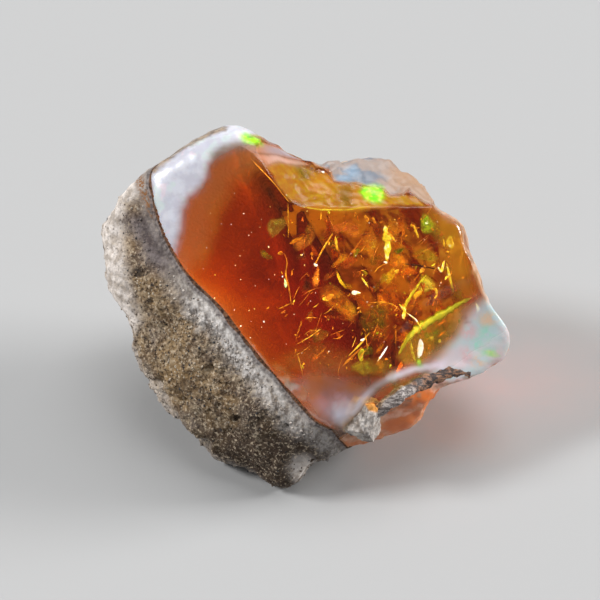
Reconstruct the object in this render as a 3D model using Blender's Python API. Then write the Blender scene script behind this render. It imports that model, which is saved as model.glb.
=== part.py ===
"""Rough precious opal in its host rock.

A clear orange opal fills a bowl of pale sandy volcanic rock and is broken open across the front.
The stone is described in the axes of that broken face: A to the right, B up the face and T out of it,
in millimetres from the middle of the face.  Both pieces are star-shaped about one inner point, so
most forms are a distance from that point in each direction.  The face leans back as the stone lies,
and the rock is flat where the stone rests.
"""
import math

import bmesh
import bpy
import numpy as np
from mathutils import Matrix, Vector

MM = 0.001

# The stone's inner point, how far its face leans back from upright, and the point of its flat base
# under the middle of its length and depth, measured from the middle of the face as the stone lies
CORE = (-1.0, 0.0, -3.0)
FACE_LEAN = 45.0
REST_POINT = (0.46, 3.45, -18.6)

# Outline of the stone seen square to its face: angle from A in degrees, distance from the core
OUTLINE = (
    (0, 21.9), (8, 20.6), (24, 20.7), (32, 19.4), (48, 18.3), (58, 18.3), (66, 17.3), (80, 15.7),
    (88, 15.8), (97, 17.2), (107, 20.3), (120, 20.7), (136, 21.2), (152, 22.4), (160, 22.4),
    (168, 21.2), (180, 19.6), (192, 19.1), (208, 19.5), (218, 19.7), (230, 19.3), (244, 20.2),
    (260, 20.2), (270, 20.5), (277, 18.8), (288, 17.4), (298, 17.8), (312, 18.9), (324, 19.4),
    (334, 20.5), (340, 23.0), (345, 24.5), (351, 24.3),
)
OUTLINE_BLUR = 16.0
OUTLINE_BLUR_SPAN = 40.0
OUTLINE_BLUR_STEP = 4.0
OUTLINE_REACH = 32.0

# How far the stone stands out in front of the core and behind it, and how square its section is
FRONT_DEPTH = 9.5
BACK_DEPTH = 14.0
FRONT_SQUARENESS = 3.2
BACK_SQUARENESS = 2.3

# The heel that the stone rests on: its direction, how much it swells and how wide it is in degrees
HEEL_WAY = (0.12, -0.25, -0.955)
HEEL_SWELL = 0.30
HEEL_WIDTH = 30.0

# The seam between rock and opal runs along Q, and P points across it from the rock into the opal.
# The rock has a long round shoulder beside it, and the bowl that holds the opal tips down along it
SEAM_TURN = 39.4
BOWL_TIP = 5.0
SHOULDER_CENTRE = (3.6, 1.5, -7.6)
SHOULDER_SIZE = (22.8, 34.0, 13.1)
SHOULDER_BLEND = 1.5
SHOULDER_LEAVES = 0.1
SHOULDER_LEAVES_BY = 8.0
BOWL_CENTRE = (13.5, 0.0, 10.0)
BOWL_SIZE = (22.0, 60.0, 18.0)
SEAM_GAP = 0.3

# Past these distances up the seam the bowl reaches further into the rock, by this much at most
SEAM_STEP = 2.3
SEAM_STEP_SPAN = (3.0, 12.0)

# The rock stops at a plane through the core, whose normal is given along P, Q and T
ROCK_END = (1.0, 0.27, 0.33)
BLOCK_SIZE = 120.0

# Flat breaks: a point on each, then how fast T rises with A and with B
WINDOW_LEFT = ((-0.5, 10.2, 5.0), 0.203, -0.011)
WINDOW_RIGHT = ((-0.5, 10.2, 5.0), -0.226, -0.046)
WINDOW_LOW = ((0.0, -9.0, 5.2), -0.212, 0.404)
NOTCH_SIDE = ((-1.1, 10.45, 4.88), -0.696, -0.683)
NOTCH_FLOOR = ((0.0, 10.0, 4.9), -0.227, -0.808)
UNDERSIDE = ((12.5, -10.45, 1.9), -0.40, 1.02)

# The round scoop above the lip at the right
SCOOP_CENTRE = (27.5, -8.5, 28.3)
SCOOP_RADIUS = 30.8

# Low swells of the skin: how many waves, their lengths, their height and the smooth end they leave
SWELL_WAVES = 14
SWELL_LENGTHS = (5.0, 12.0)
SWELL_HEIGHT = 0.13
SWELL_SEED = 11
SMOOTH_END = (-11.0, 13.2, 3.0)
SMOOTH_END_WIDTH = 34.0
SWELLS_START = (35.0, 65.0)

# Single lumps and hollows of the rock: where, how high, and how wide in degrees
KNOBS = (
    ((0.6, -16.2, 0.5), -0.7, 6.0),
    ((-16.5, 6.6, 2.0), -0.8, 9.0),
    ((-13.5, -8.5, 3.0), 0.5, 9.0),
    ((-5.5, -14.5, 3.0), 0.5, 8.0),
    ((-18.5, 0.5, -3.0), 0.5, 8.0),
    ((6.8, -13.4, 1.0), 0.6, 7.0),
    ((14.0, 13.5, 0.5), 0.5, 7.0),
    ((17.5, 6.0, 0.5), -0.5, 6.0),
)

# The rock reaches into the opal's edge in one round lobe beside the underside
LOBE_CENTRE = (5.3, -13.9, -0.2)
LOBE_RADIUS = 3.4

# Gas pits in the rock: A, B and the radius of each, all seen on the face's side
PITS = (
    (-16.3, -9.8, 0.75), (-15.6, -11.1, 0.65), (-12.9, -11.4, 0.6), (-9.9, -7.7, 0.55),
    (-10.8, -16.3, 0.9), (-17.8, 3.0, 0.6), (-7.0, -13.2, 0.55),
)
PIT_SINK = 0.25
HALVINGS = 24

# How finely the balls are divided, and the angle past which an edge is a sharp break, in degrees
SKIN_LEVEL = 5
PIT_LEVEL = 2
LOBE_LEVEL = 1
SHARP_ANGLE = 28.0


def unit(vector):
    """A direction of length one."""
    vector = np.asarray(vector, dtype=float)
    return vector / np.linalg.norm(vector)


def seam_axes(tip_degrees):
    """Rows P, Q and T of the seam: the face's axes turned about T, then tipped about P."""
    turn, tip = math.radians(SEAM_TURN), math.radians(tip_degrees)
    down_face = np.array((math.sin(turn), -math.cos(turn), 0.0))
    out = np.array((0.0, 0.0, 1.0))
    return np.array([
        (math.cos(turn), math.sin(turn), 0.0),
        down_face * math.cos(tip) - out * math.sin(tip),
        down_face * math.sin(tip) + out * math.cos(tip),
    ])


def smooth_least(first, second, blend):
    """The lesser of two distances, with the corner between them rounded over the blend length."""
    share = np.clip(0.5 + 0.5 * (second - first) / blend, 0.0, 1.0)
    return second * (1.0 - share) + first * share - blend * share * (1.0 - share)


def smooth_step(value, low, high):
    """0 below low, 1 above high and an S-curve between them."""
    share = np.clip((value - low) / (high - low), 0.0, 1.0)
    return share * share * (3.0 - 2.0 * share)


def outline_radius(angle):
    """The outline's distance at angles in degrees, by a periodic cubic through its points."""
    points = np.array(OUTLINE, dtype=float)
    stations = np.concatenate([points[:, 0] - 360.0, points[:, 0], points[:, 0] + 360.0])
    radii = np.tile(points[:, 1], 3)
    slopes = np.gradient(radii, stations)
    angle = np.mod(angle, 360.0)
    index = np.clip(np.searchsorted(stations, angle, side="right") - 1, 0, len(stations) - 2)
    span = stations[index + 1] - stations[index]
    share = (angle - stations[index]) / span
    cube, square = share ** 3, share ** 2
    return (
        (2 * cube - 3 * square + 1) * radii[index] + (cube - 2 * square + share) * span * slopes[index]
        + (3 * square - 2 * cube) * radii[index + 1] + (cube - square) * span * slopes[index + 1]
    )


def blurred_outline(angle):
    """The same outline averaged over its neighbours, for the stone away from its rim."""
    offsets = np.arange(-OUTLINE_BLUR_SPAN, OUTLINE_BLUR_SPAN + 1.0, OUTLINE_BLUR_STEP)
    weights = np.exp(-0.5 * (offsets / OUTLINE_BLUR) ** 2)
    total = sum(weight * outline_radius(angle + offset) for offset, weight in zip(offsets, weights))
    return total / weights.sum()


def angle_from(ways, way):
    """The angle in degrees between each direction and one given direction."""
    return np.degrees(np.arccos(np.clip(ways @ unit(way), -1.0, 1.0)))


def body_radius(ways):
    """The stone before it broke: a squarish section between the outline and the two depths."""
    across = np.hypot(ways[:, 0], ways[:, 1])
    out = ways[:, 2]
    turn = np.degrees(np.arctan2(ways[:, 1], ways[:, 0]))
    rim = np.exp(-(np.degrees(np.arcsin(np.clip(out, -1.0, 1.0))) / OUTLINE_REACH) ** 2)
    outline = outline_radius(turn) * rim + blurred_outline(turn) * (1.0 - rim)
    power = np.where(out > 0, FRONT_SQUARENESS, BACK_SQUARENESS)
    depth = np.where(out > 0, FRONT_DEPTH, BACK_DEPTH)
    radius = ((across / outline) ** power + (np.abs(out) / depth) ** power) ** (-1.0 / power)
    return radius * (1.0 + HEEL_SWELL * np.exp(-(angle_from(ways, HEEL_WAY) / HEEL_WIDTH) ** 2))


def ellipsoid_radius(ways, centre, size, axes):
    """Distance from the core to an ellipsoid round it, which lies along three axes."""
    start = (axes @ np.array(CORE) - np.array(centre)) / np.array(size)
    steps = (ways @ axes.T) / np.array(size)
    square = (steps * steps).sum(axis=1)
    cross = steps @ start
    rest = start @ start - 1.0
    return (np.sqrt(np.maximum(cross * cross - square * rest, 0.0)) - cross) / square


def swells(ways, radius):
    """Low waves over the skin: plane waves of seeded directions, lengths and phases, summed."""
    draw = np.random.default_rng(SWELL_SEED)
    points = ways * radius[:, None]
    total = np.zeros(len(ways))
    for _ in range(SWELL_WAVES):
        way = unit(draw.normal(size=3))
        length = draw.uniform(*SWELL_LENGTHS)
        total += np.cos(2.0 * math.pi * (points @ way) / length + draw.uniform(0.0, 2.0 * math.pi))
    rough = 1.0 - np.exp(-(angle_from(ways, np.subtract(SMOOTH_END, CORE)) / SMOOTH_END_WIDTH) ** 2)
    rough = rough * smooth_step(angle_from(ways, (0.0, 0.0, 1.0)), *SWELLS_START)
    return SWELL_HEIGHT * rough * total


def skin_radius(ways):
    """The whole nodule's skin: body, shoulder of rock, swells, then single lumps and hollows."""
    shoulder = ellipsoid_radius(ways, SHOULDER_CENTRE, SHOULDER_SIZE, seam_axes(0.0))
    shoulder = shoulder + SHOULDER_LEAVES_BY * np.clip(-ways[:, 2] - SHOULDER_LEAVES, 0.0, 1.0)
    radius = smooth_least(body_radius(ways), shoulder, SHOULDER_BLEND)
    radius = radius + swells(ways, radius)
    for place, height, width in KNOBS:
        way = np.subtract(place, CORE)
        radius = radius + height * np.exp(-(angle_from(ways, way) / width) ** 2)
    return radius


def lying_turn():
    """Turns face axes into the world's: A to +X, and the face leaning back from upright."""
    lean = math.radians(FACE_LEAN)
    return Matrix((
        (1.0, 0.0, 0.0, 0.0),
        (0.0, math.sin(lean), -math.cos(lean), 0.0),
        (0.0, math.cos(lean), math.sin(lean), 0.0),
        (0.0, 0.0, 0.0, 1.0),
    ))


def face_point(place):
    """A place in face axes, in millimetres, as a point of the lying stone in metres."""
    return (lying_turn() @ Vector(place) - Vector(REST_POINT)) * MM


def face_plane(plane):
    """A slope over the face as a point and an outward direction of the lying stone."""
    place, rise_a, rise_b = plane
    normal = lying_turn().to_3x3() @ Vector((-rise_a, -rise_b, 1.0))
    return face_point(place), normal.normalized()


def radial_ball(radius_of):
    """A ball whose points are moved out to a distance for each direction."""
    shape = bmesh.new()
    bmesh.ops.create_icosphere(shape, subdivisions=SKIN_LEVEL, radius=1.0)
    ways = np.array([vert.co[:] for vert in shape.verts])
    ways /= np.linalg.norm(ways, axis=1, keepdims=True)
    places = np.array(CORE) + ways * radius_of(ways)[:, None]
    for vert, place in zip(shape.verts, places):
        vert.co = face_point(place)
    return shape


def shave(shape, point, outward):
    """Cut off everything beyond a plane and close the cut with one flat face."""
    parts = shape.verts[:] + shape.edges[:] + shape.faces[:]
    cut = bmesh.ops.bisect_plane(
        shape, geom=parts, plane_co=point, plane_no=outward, clear_outer=True, dist=MM * 0.0001)
    rim = [item for item in cut["geom_cut"] if isinstance(item, bmesh.types.BMEdge)]
    bmesh.ops.contextual_create(shape, geom=rim)
    bmesh.ops.recalc_face_normals(shape, faces=shape.faces[:])


def seam_bowl(gap):
    """An ellipsoid along the seam's axes, the hollow that the opal fills, larger by the gap."""
    shape = bmesh.new()
    bmesh.ops.create_icosphere(shape, subdivisions=SKIN_LEVEL, radius=1.0)
    axes = seam_axes(BOWL_TIP)
    for vert in shape.verts:
        along_axes = np.array(BOWL_CENTRE) + np.array(vert.co) * (np.array(BOWL_SIZE) + gap)
        along_axes[0] -= SEAM_STEP * smooth_step(-along_axes[1], *SEAM_STEP_SPAN)
        vert.co = face_point(along_axes @ axes)
    bmesh.ops.recalc_face_normals(shape, faces=shape.faces[:])
    return shape


def beyond_rock(gap):
    """A block over everything past the plane where the rock stops, moved into the rock by the gap."""
    normal = unit(ROCK_END) @ seam_axes(BOWL_TIP)
    point = face_point(np.array(CORE) - gap * normal)
    return half_block([(point, lying_turn().to_3x3() @ Vector(normal))])


def half_block(planes):
    """A large block shaved so that only what lies beyond each plane is left."""
    shape = bmesh.new()
    bmesh.ops.create_cube(shape, size=BLOCK_SIZE * MM)
    for point, outward in planes:
        shave(shape, point, -outward)
    return shape


def add_object(name, shape, material=None):
    """A new object of a bmesh, smooth over its skin and sharp along its breaks."""
    mesh = bpy.data.meshes.new(name)
    shape.to_mesh(mesh)
    shape.free()
    if material:
        mesh.materials.append(material)
        mesh.shade_smooth()
        mesh.set_sharp_from_angle(angle=math.radians(SHARP_ANGLE))
    item = bpy.data.objects.new(name, mesh)
    bpy.context.collection.objects.link(item)
    return item


def add_cutter(name, shape):
    """An object that only shapes the others."""
    cutter = add_object(name, shape)
    cutter.hide_render = True
    cutter.display_type = "WIRE"
    return cutter


def add_boolean(item, operation, cutter):
    """A live Boolean with an exact solver."""
    step = item.modifiers.new(cutter.name, "BOOLEAN")
    step.operation = operation
    step.object = cutter
    step.solver = "EXACT"


def make_material(name, colour, roughness, alpha=1.0):
    """A plain dielectric finish."""
    material = bpy.data.materials.new(name)
    material.use_nodes = True
    shader = material.node_tree.nodes["Principled BSDF"]
    shader.inputs["Base Color"].default_value = (*colour, 1.0)
    shader.inputs["Roughness"].default_value = roughness
    shader.inputs["Metallic"].default_value = 0.0
    shader.inputs["Alpha"].default_value = alpha
    return material


def bowl_cutter(name, gap):
    """Everything that is not rock: the hollow and what lies beyond the rock, without the lobe."""
    cutter = add_cutter(name, seam_bowl(gap))
    add_boolean(cutter, "UNION", add_cutter(name + "_beyond", beyond_rock(gap)))
    lobe = ball(LOBE_CENTRE, LOBE_RADIUS - gap, LOBE_LEVEL)
    add_boolean(cutter, "DIFFERENCE", add_cutter(name + "_lobe", lobe))
    return cutter


def broken_nodule():
    """The nodule with its three flat windows, its underside break and its flat base."""
    shape = radial_ball(skin_radius)
    for plane in (WINDOW_LEFT, WINDOW_RIGHT, WINDOW_LOW, UNDERSIDE):
        shave(shape, *face_plane(plane))
    shave(shape, Vector((0.0, 0.0, 0.0)), Vector((0.0, 0.0, -1.0)))
    return shape


def ball(centre, radius, level):
    """A round ball at a place of the face's axes."""
    shape = bmesh.new()
    place = Matrix.Translation(face_point(centre))
    bmesh.ops.create_icosphere(shape, subdivisions=level, radius=radius * MM, matrix=place)
    return shape


def pit_balls():
    """Small round cutters sunk into the rock, one for each gas pit, joined in one mesh."""
    shape = bmesh.new()
    for place_a, place_b, radius in PITS:
        place = pit_place(place_a, place_b)
        bmesh.ops.create_icosphere(
            shape, subdivisions=PIT_LEVEL, radius=radius * MM,
            matrix=Matrix.Translation(face_point(place)))
    return shape


def pit_place(place_a, place_b):
    """The point of the skin over a place of the face, found by halving along the line of sight."""
    low, high = CORE[2], FRONT_DEPTH
    for _ in range(HALVINGS):
        middle = 0.5 * (low + high)
        way = np.subtract((place_a, place_b, middle), CORE)
        if np.linalg.norm(way) < skin_radius(unit(way)[None, :])[0]:
            low = middle
        else:
            high = middle
    return (place_a, place_b, low + PIT_SINK)


def main():
    for item in list(bpy.data.objects):
        bpy.data.objects.remove(item, do_unlink=True)

    clear_orange = make_material("opal", (0.86, 0.34, 0.06), 0.12, 0.6)
    pale_rock = make_material("host_rock", (0.47, 0.40, 0.33), 0.9)

    notch = add_cutter("notch_cutter", half_block([face_plane(NOTCH_SIDE), face_plane(NOTCH_FLOOR)]))
    scoop = add_cutter("scoop_cutter", ball(SCOOP_CENTRE, SCOOP_RADIUS, SKIN_LEVEL))
    pits = add_cutter("pit_cutter", pit_balls())
    bowl = bowl_cutter("opal_space", 0.0)
    bowl_wide = bowl_cutter("rock_hollow", SEAM_GAP)

    opal = add_object("opal", broken_nodule(), clear_orange)
    for operation, cutter in (("DIFFERENCE", notch), ("DIFFERENCE", scoop), ("INTERSECT", bowl)):
        add_boolean(opal, operation, cutter)

    rock = add_object("host_rock", broken_nodule(), pale_rock)
    for cutter in (notch, scoop, pits, bowl_wide):
        add_boolean(rock, "DIFFERENCE", cutter)


main()
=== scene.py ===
import math

import bpy
import numpy as np
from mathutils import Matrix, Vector


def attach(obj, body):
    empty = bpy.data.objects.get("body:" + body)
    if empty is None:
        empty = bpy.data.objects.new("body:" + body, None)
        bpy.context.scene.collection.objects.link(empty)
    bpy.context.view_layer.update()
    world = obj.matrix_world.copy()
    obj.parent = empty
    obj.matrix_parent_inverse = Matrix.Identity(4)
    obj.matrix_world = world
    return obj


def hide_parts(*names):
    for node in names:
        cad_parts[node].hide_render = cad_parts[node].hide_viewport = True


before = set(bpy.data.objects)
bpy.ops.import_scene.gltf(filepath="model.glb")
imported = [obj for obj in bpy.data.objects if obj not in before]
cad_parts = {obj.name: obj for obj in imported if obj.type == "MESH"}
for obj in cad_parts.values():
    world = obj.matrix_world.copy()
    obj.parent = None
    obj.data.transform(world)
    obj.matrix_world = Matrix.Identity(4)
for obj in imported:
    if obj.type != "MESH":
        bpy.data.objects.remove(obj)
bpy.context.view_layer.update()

MM = 0.001

# Where the stone lies
CORE = np.array((-1.0, 0.0, -3.0))
FACE_LEAN = math.radians(45.0)
REST_POINT = np.array((0.46, 3.45, -18.6))
LYING = np.array((
    (1.0, 0.0, 0.0),
    (0.0, math.sin(FACE_LEAN), -math.cos(FACE_LEAN)),
    (0.0, math.cos(FACE_LEAN), math.sin(FACE_LEAN)),
))

# The body: outline by angle in degrees and distance from the core, depths and squareness of section
OUTLINE = (
    (0, 21.9), (8, 20.6), (24, 20.7), (32, 19.4), (48, 18.3), (58, 18.3), (66, 17.3), (80, 15.7),
    (88, 15.8), (97, 17.2), (107, 20.3), (120, 20.7), (136, 21.2), (152, 22.4), (160, 22.4),
    (168, 21.2), (180, 19.6), (192, 19.1), (208, 19.5), (218, 19.7), (230, 19.3), (244, 20.2),
    (260, 20.2), (270, 20.5), (277, 18.8), (288, 17.4), (298, 17.8), (312, 18.9), (324, 19.4),
    (334, 20.5), (340, 23.0), (345, 24.5), (351, 24.3),
)
OUTLINE_BLUR, OUTLINE_BLUR_SPAN, OUTLINE_BLUR_STEP, OUTLINE_REACH = 16.0, 40.0, 4.0, 32.0
FRONT_DEPTH, BACK_DEPTH = 9.5, 14.0
FRONT_SQUARENESS, BACK_SQUARENESS = 3.2, 2.3
HEEL_WAY, HEEL_SWELL, HEEL_WIDTH = (0.12, -0.25, -0.955), 0.30, 30.0

# The seam between rock and opal, the rock's shoulder beside it, the opal's bowl and the rock's end
SEAM_TURN, BOWL_TIP = 39.4, 5.0
SHOULDER_CENTRE, SHOULDER_SIZE, SHOULDER_BLEND = (3.6, 1.5, -7.6), (22.8, 34.0, 13.1), 1.5
SHOULDER_LEAVES, SHOULDER_LEAVES_BY = 0.1, 8.0
BOWL_CENTRE, BOWL_SIZE = (13.5, 0.0, 10.0), (22.0, 60.0, 18.0)
BOWL_SWELL_WAY, BOWL_SWELL, BOWL_SWELL_WIDTH = (-12.0, 9.0, 7.0), 12.5, 25.0
ROCK_END = (1.0, 0.27, 0.33)

# Flat breaks: a point on each, then how fast T rises with A and with B, and how round its edge is
WINDOW_LEFT = ((-0.5, 10.2, 5.0), 0.203, -0.011)
WINDOW_RIGHT = ((-0.5, 10.2, 5.0), -0.226, -0.046)
WINDOW_LOW = ((0.0, -9.0, 5.2), -0.212, 0.404)
NOTCH_SIDE = ((-1.1, 10.45, 4.88), -0.696, -0.683)
NOTCH_FLOOR = ((0.0, 10.0, 4.9), -0.227, -0.808)
UNDERSIDE = ((12.5, -10.45, 1.9), -0.40, 1.02)
SCOOP_CENTRE, SCOOP_RADIUS = np.array((27.5, -8.5, 28.3)), 30.8
EDGE_ROUND = 0.16

# Low swells and single lumps of the skin
SWELL_WAVES, SWELL_LENGTHS, SWELL_HEIGHT, SWELL_SEED = 14, (5.0, 12.0), 0.13, 11
SMOOTH_END, SMOOTH_END_WIDTH, SWELLS_START = (-11.0, 13.2, 3.0), 34.0, (35.0, 65.0)
KNOBS = (
    ((0.6, -16.2, 0.5), -0.7, 6.0),
    ((-16.5, 6.6, 2.0), -0.8, 9.0),
    ((-13.5, -8.5, 3.0), 0.5, 9.0),
    ((-5.5, -14.5, 3.0), 0.5, 8.0),
    ((-18.5, 0.5, -3.0), 0.5, 8.0),
    ((6.8, -13.4, 1.0), 0.6, 7.0),
    ((14.0, 13.5, 0.5), 0.5, 7.0),
    ((17.5, 6.0, 0.5), -0.5, 6.0),
)

# Gas pits of the rock seen from the front: A, B, radius
PITS = (
    (-16.3, -9.8, 0.75), (-15.6, -11.1, 0.65), (-12.9, -11.4, 0.6), (-9.9, -7.7, 0.55),
    (-10.8, -16.3, 0.9), (-17.8, 3.0, 0.6), (-7.0, -13.2, 0.55),
)


# Small maths

def unit(vector):
    """A direction of length one."""
    vector = np.asarray(vector, dtype=float)
    return vector / np.linalg.norm(vector)


def smooth_least(first, second, blend):
    """The lesser of two distances, with the corner between them rounded over the blend length."""
    share = np.clip(0.5 + 0.5 * (second - first) / blend, 0.0, 1.0)
    return second * (1.0 - share) + first * share - blend * share * (1.0 - share)


def smooth_step(value, low, high):
    """0 below low, 1 above high and an S-curve between them."""
    share = np.clip((value - low) / (high - low), 0.0, 1.0)
    return share * share * (3.0 - 2.0 * share)


def angle_from(ways, way):
    """The angle in degrees between each direction and one given direction."""
    return np.degrees(np.arccos(np.clip(ways @ unit(way), -1.0, 1.0)))


def lattice_noise(points, size, seed):
    """Random values on a cubic lattice of one size, blended smoothly between the corners: -1 to 1."""
    draw = np.random.default_rng(seed)
    shuffle = draw.permutation(256)
    values = draw.uniform(-1.0, 1.0, 256)
    place = points / size
    cell = np.floor(place).astype(int)
    share = place - cell
    share = share * share * (3.0 - 2.0 * share)
    total = np.zeros(len(points))
    for corner in range(8):
        step = np.array((corner & 1, corner >> 1 & 1, corner >> 2 & 1))
        weight = np.prod(np.where(step, share, 1.0 - share), axis=1)
        key = cell + step
        index = shuffle[(shuffle[(shuffle[key[:, 0] & 255] + key[:, 1]) & 255] + key[:, 2]) & 255]
        total += weight * values[index]
    return total


def layered_noise(points, size, seed, layers=4):
    """Lattice noise summed over layers, each half the size and half the strength of the last."""
    return sum(
        lattice_noise(points, size / 2 ** layer, seed + layer) / 2 ** layer for layer in range(layers))


def cell_noise(points, size, seed):
    """Distance from each point to the nearest of one random spot in each cube, and that spot's chance."""
    draw = np.random.default_rng(seed)
    shuffle = draw.permutation(256)
    spots = draw.uniform(0.0, 1.0, (256, 3))
    chances = draw.uniform(0.0, 1.0, 256)
    place = points / size
    cell = np.floor(place).astype(int)
    nearest = np.full(len(points), 9.0)
    chance = np.zeros(len(points))
    for neighbour in range(27):
        step = np.array((neighbour % 3, neighbour // 3 % 3, neighbour // 9)) - 1
        key = cell + step
        index = shuffle[(shuffle[(shuffle[key[:, 0] & 255] + key[:, 1]) & 255] + key[:, 2]) & 255]
        far = np.linalg.norm(key + spots[index] - place, axis=1)
        closer = far < nearest
        nearest = np.where(closer, far, nearest)
        chance = np.where(closer, chances[index], chance)
    return nearest * size, chance


# The stone's form, as distances from the core

def seam_axes(tip_degrees):
    """Rows P, Q and T of the seam: the face's axes turned about T, then tipped about P."""
    turn, tip = math.radians(SEAM_TURN), math.radians(tip_degrees)
    down_face = np.array((math.sin(turn), -math.cos(turn), 0.0))
    out = np.array((0.0, 0.0, 1.0))
    return np.array([
        (math.cos(turn), math.sin(turn), 0.0),
        down_face * math.cos(tip) - out * math.sin(tip),
        down_face * math.sin(tip) + out * math.cos(tip),
    ])


ROCK_END_NORMAL = unit(ROCK_END) @ seam_axes(BOWL_TIP)


def outline_radius(angle):
    """The outline's distance at angles in degrees, by a periodic cubic through its points."""
    points = np.array(OUTLINE, dtype=float)
    stations = np.concatenate([points[:, 0] - 360.0, points[:, 0], points[:, 0] + 360.0])
    radii = np.tile(points[:, 1], 3)
    slopes = np.gradient(radii, stations)
    angle = np.mod(angle, 360.0)
    index = np.clip(np.searchsorted(stations, angle, side="right") - 1, 0, len(stations) - 2)
    span = stations[index + 1] - stations[index]
    share = (angle - stations[index]) / span
    cube, square = share ** 3, share ** 2
    return (
        (2 * cube - 3 * square + 1) * radii[index] + (cube - 2 * square + share) * span * slopes[index]
        + (3 * square - 2 * cube) * radii[index + 1] + (cube - square) * span * slopes[index + 1]
    )


def blurred_outline(angle):
    """The same outline averaged over its neighbours, for the stone away from its rim."""
    offsets = np.arange(-OUTLINE_BLUR_SPAN, OUTLINE_BLUR_SPAN + 1.0, OUTLINE_BLUR_STEP)
    weights = np.exp(-0.5 * (offsets / OUTLINE_BLUR) ** 2)
    total = sum(weight * outline_radius(angle + offset) for offset, weight in zip(offsets, weights))
    return total / weights.sum()


def body_radius(ways):
    """The stone before it broke: a squarish section between the outline and the two depths."""
    across = np.hypot(ways[:, 0], ways[:, 1])
    out = ways[:, 2]
    turn = np.degrees(np.arctan2(ways[:, 1], ways[:, 0]))
    rim = np.exp(-(np.degrees(np.arcsin(np.clip(out, -1.0, 1.0))) / OUTLINE_REACH) ** 2)
    outline = outline_radius(turn) * rim + blurred_outline(turn) * (1.0 - rim)
    power = np.where(out > 0, FRONT_SQUARENESS, BACK_SQUARENESS)
    depth = np.where(out > 0, FRONT_DEPTH, BACK_DEPTH)
    radius = ((across / outline) ** power + (np.abs(out) / depth) ** power) ** (-1.0 / power)
    return radius * (1.0 + HEEL_SWELL * np.exp(-(angle_from(ways, HEEL_WAY) / HEEL_WIDTH) ** 2))


def ellipsoid_radius(ways, centre, size, axes):
    """Distance from the core to an ellipsoid round it, which lies along three axes."""
    start = (axes @ CORE - np.array(centre)) / np.array(size)
    steps = (ways @ axes.T) / np.array(size)
    square = (steps * steps).sum(axis=1)
    cross = steps @ start
    rest = start @ start - 1.0
    return (np.sqrt(np.maximum(cross * cross - square * rest, 0.0)) - cross) / square


def swells(ways, radius):
    """Low waves over the skin: plane waves of seeded directions, lengths and phases, summed."""
    draw = np.random.default_rng(SWELL_SEED)
    points = ways * radius[:, None]
    total = np.zeros(len(ways))
    for _ in range(SWELL_WAVES):
        way = unit(draw.normal(size=3))
        length = draw.uniform(*SWELL_LENGTHS)
        total += np.cos(2.0 * math.pi * (points @ way) / length + draw.uniform(0.0, 2.0 * math.pi))
    rough = 1.0 - np.exp(-(angle_from(ways, np.subtract(SMOOTH_END, CORE)) / SMOOTH_END_WIDTH) ** 2)
    rough = rough * smooth_step(angle_from(ways, (0.0, 0.0, 1.0)), *SWELLS_START)
    return SWELL_HEIGHT * rough * total


def skin_radius(ways):
    """The whole nodule's skin: body, shoulder of rock, swells, then single lumps and hollows."""
    shoulder = ellipsoid_radius(ways, SHOULDER_CENTRE, SHOULDER_SIZE, seam_axes(0.0))
    shoulder = shoulder + SHOULDER_LEAVES_BY * np.clip(-ways[:, 2] - SHOULDER_LEAVES, 0.0, 1.0)
    radius = smooth_least(body_radius(ways), shoulder, SHOULDER_BLEND)
    radius = radius + swells(ways, radius)
    for place, height, width in KNOBS:
        radius = radius + height * np.exp(-(angle_from(ways, np.subtract(place, CORE)) / width) ** 2)
    return radius


def plane_radius(ways, plane):
    """Distance from the core to a slope over the face, or very far where the way never meets it."""
    place, rise_a, rise_b = plane
    normal = unit((-rise_a, -rise_b, 1.0))
    height = (np.array(place) - CORE) @ normal
    return height / np.maximum(ways @ normal, 1e-3)


def scoop_radius(ways):
    """Distance from the core to the near side of the scoop's ball, or very far."""
    start = SCOOP_CENTRE - CORE
    along = ways @ start
    inside = along * along - (start @ start - SCOOP_RADIUS ** 2)
    return np.where((inside > 0) & (along > 0), along - np.sqrt(np.maximum(inside, 0.0)), 1e3)


def base_radius(ways):
    """Distance from the core to the level surface that the stone rests on."""
    drop = (LYING @ CORE)[2] - REST_POINT[2]
    return drop / np.maximum(-(ways @ LYING[2]), 1e-3)


def break_radii(ways):
    """The distances to each break: left window, right window, low window, notch, underside, scoop."""
    notch = -smooth_least(-plane_radius(ways, NOTCH_SIDE), -plane_radius(ways, NOTCH_FLOOR), 0.2)
    return (
        plane_radius(ways, WINDOW_LEFT), plane_radius(ways, WINDOW_RIGHT),
        plane_radius(ways, WINDOW_LOW), notch, plane_radius(ways, UNDERSIDE), scoop_radius(ways),
    )


def whole_radius(ways):
    """The broken stone's outside, and how far each way is from being skin: 0 on skin, 1 on a break."""
    skin = skin_radius(ways)
    radius = skin
    for cut in break_radii(ways):
        radius = smooth_least(radius, cut, EDGE_ROUND)
    broken = smooth_step(skin - radius, 0.0, 0.5)
    return smooth_least(radius, base_radius(ways), 0.1), broken


def bowl_radius(ways):
    """The seam between opal and rock: an ellipsoid, and a swell of it that moves the seam up its length."""
    radius = ellipsoid_radius(ways, BOWL_CENTRE, BOWL_SIZE, seam_axes(BOWL_TIP))
    return radius + BOWL_SWELL * np.exp(-(angle_from(ways, BOWL_SWELL_WAY) / BOWL_SWELL_WIDTH) ** 2)


# From face axes to the scene

def to_scene(points):
    """Places in face axes, in millimetres, as places of the lying stone in metres."""
    return (points @ LYING.T - REST_POINT) * MM


def grid_faces(rows, columns, first=0):
    """Quads of a grid of rows, each closed on itself, as corner numbers."""
    row, column = np.meshgrid(np.arange(rows - 1), np.arange(columns), indexing="ij")
    start = first + row * columns + column
    ahead = first + row * columns + (column + 1) % columns
    return np.stack([start, ahead, ahead + columns, start + columns], axis=-1).reshape(-1, 4)


def fan_faces(tip, ring, flip):
    """Triangles from one tip to a closed ring of corners."""
    ahead = np.roll(ring, -1)
    tips = np.full(len(ring), tip)
    return np.stack([tips, ahead, ring] if flip else [tips, ring, ahead], axis=-1)


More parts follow.
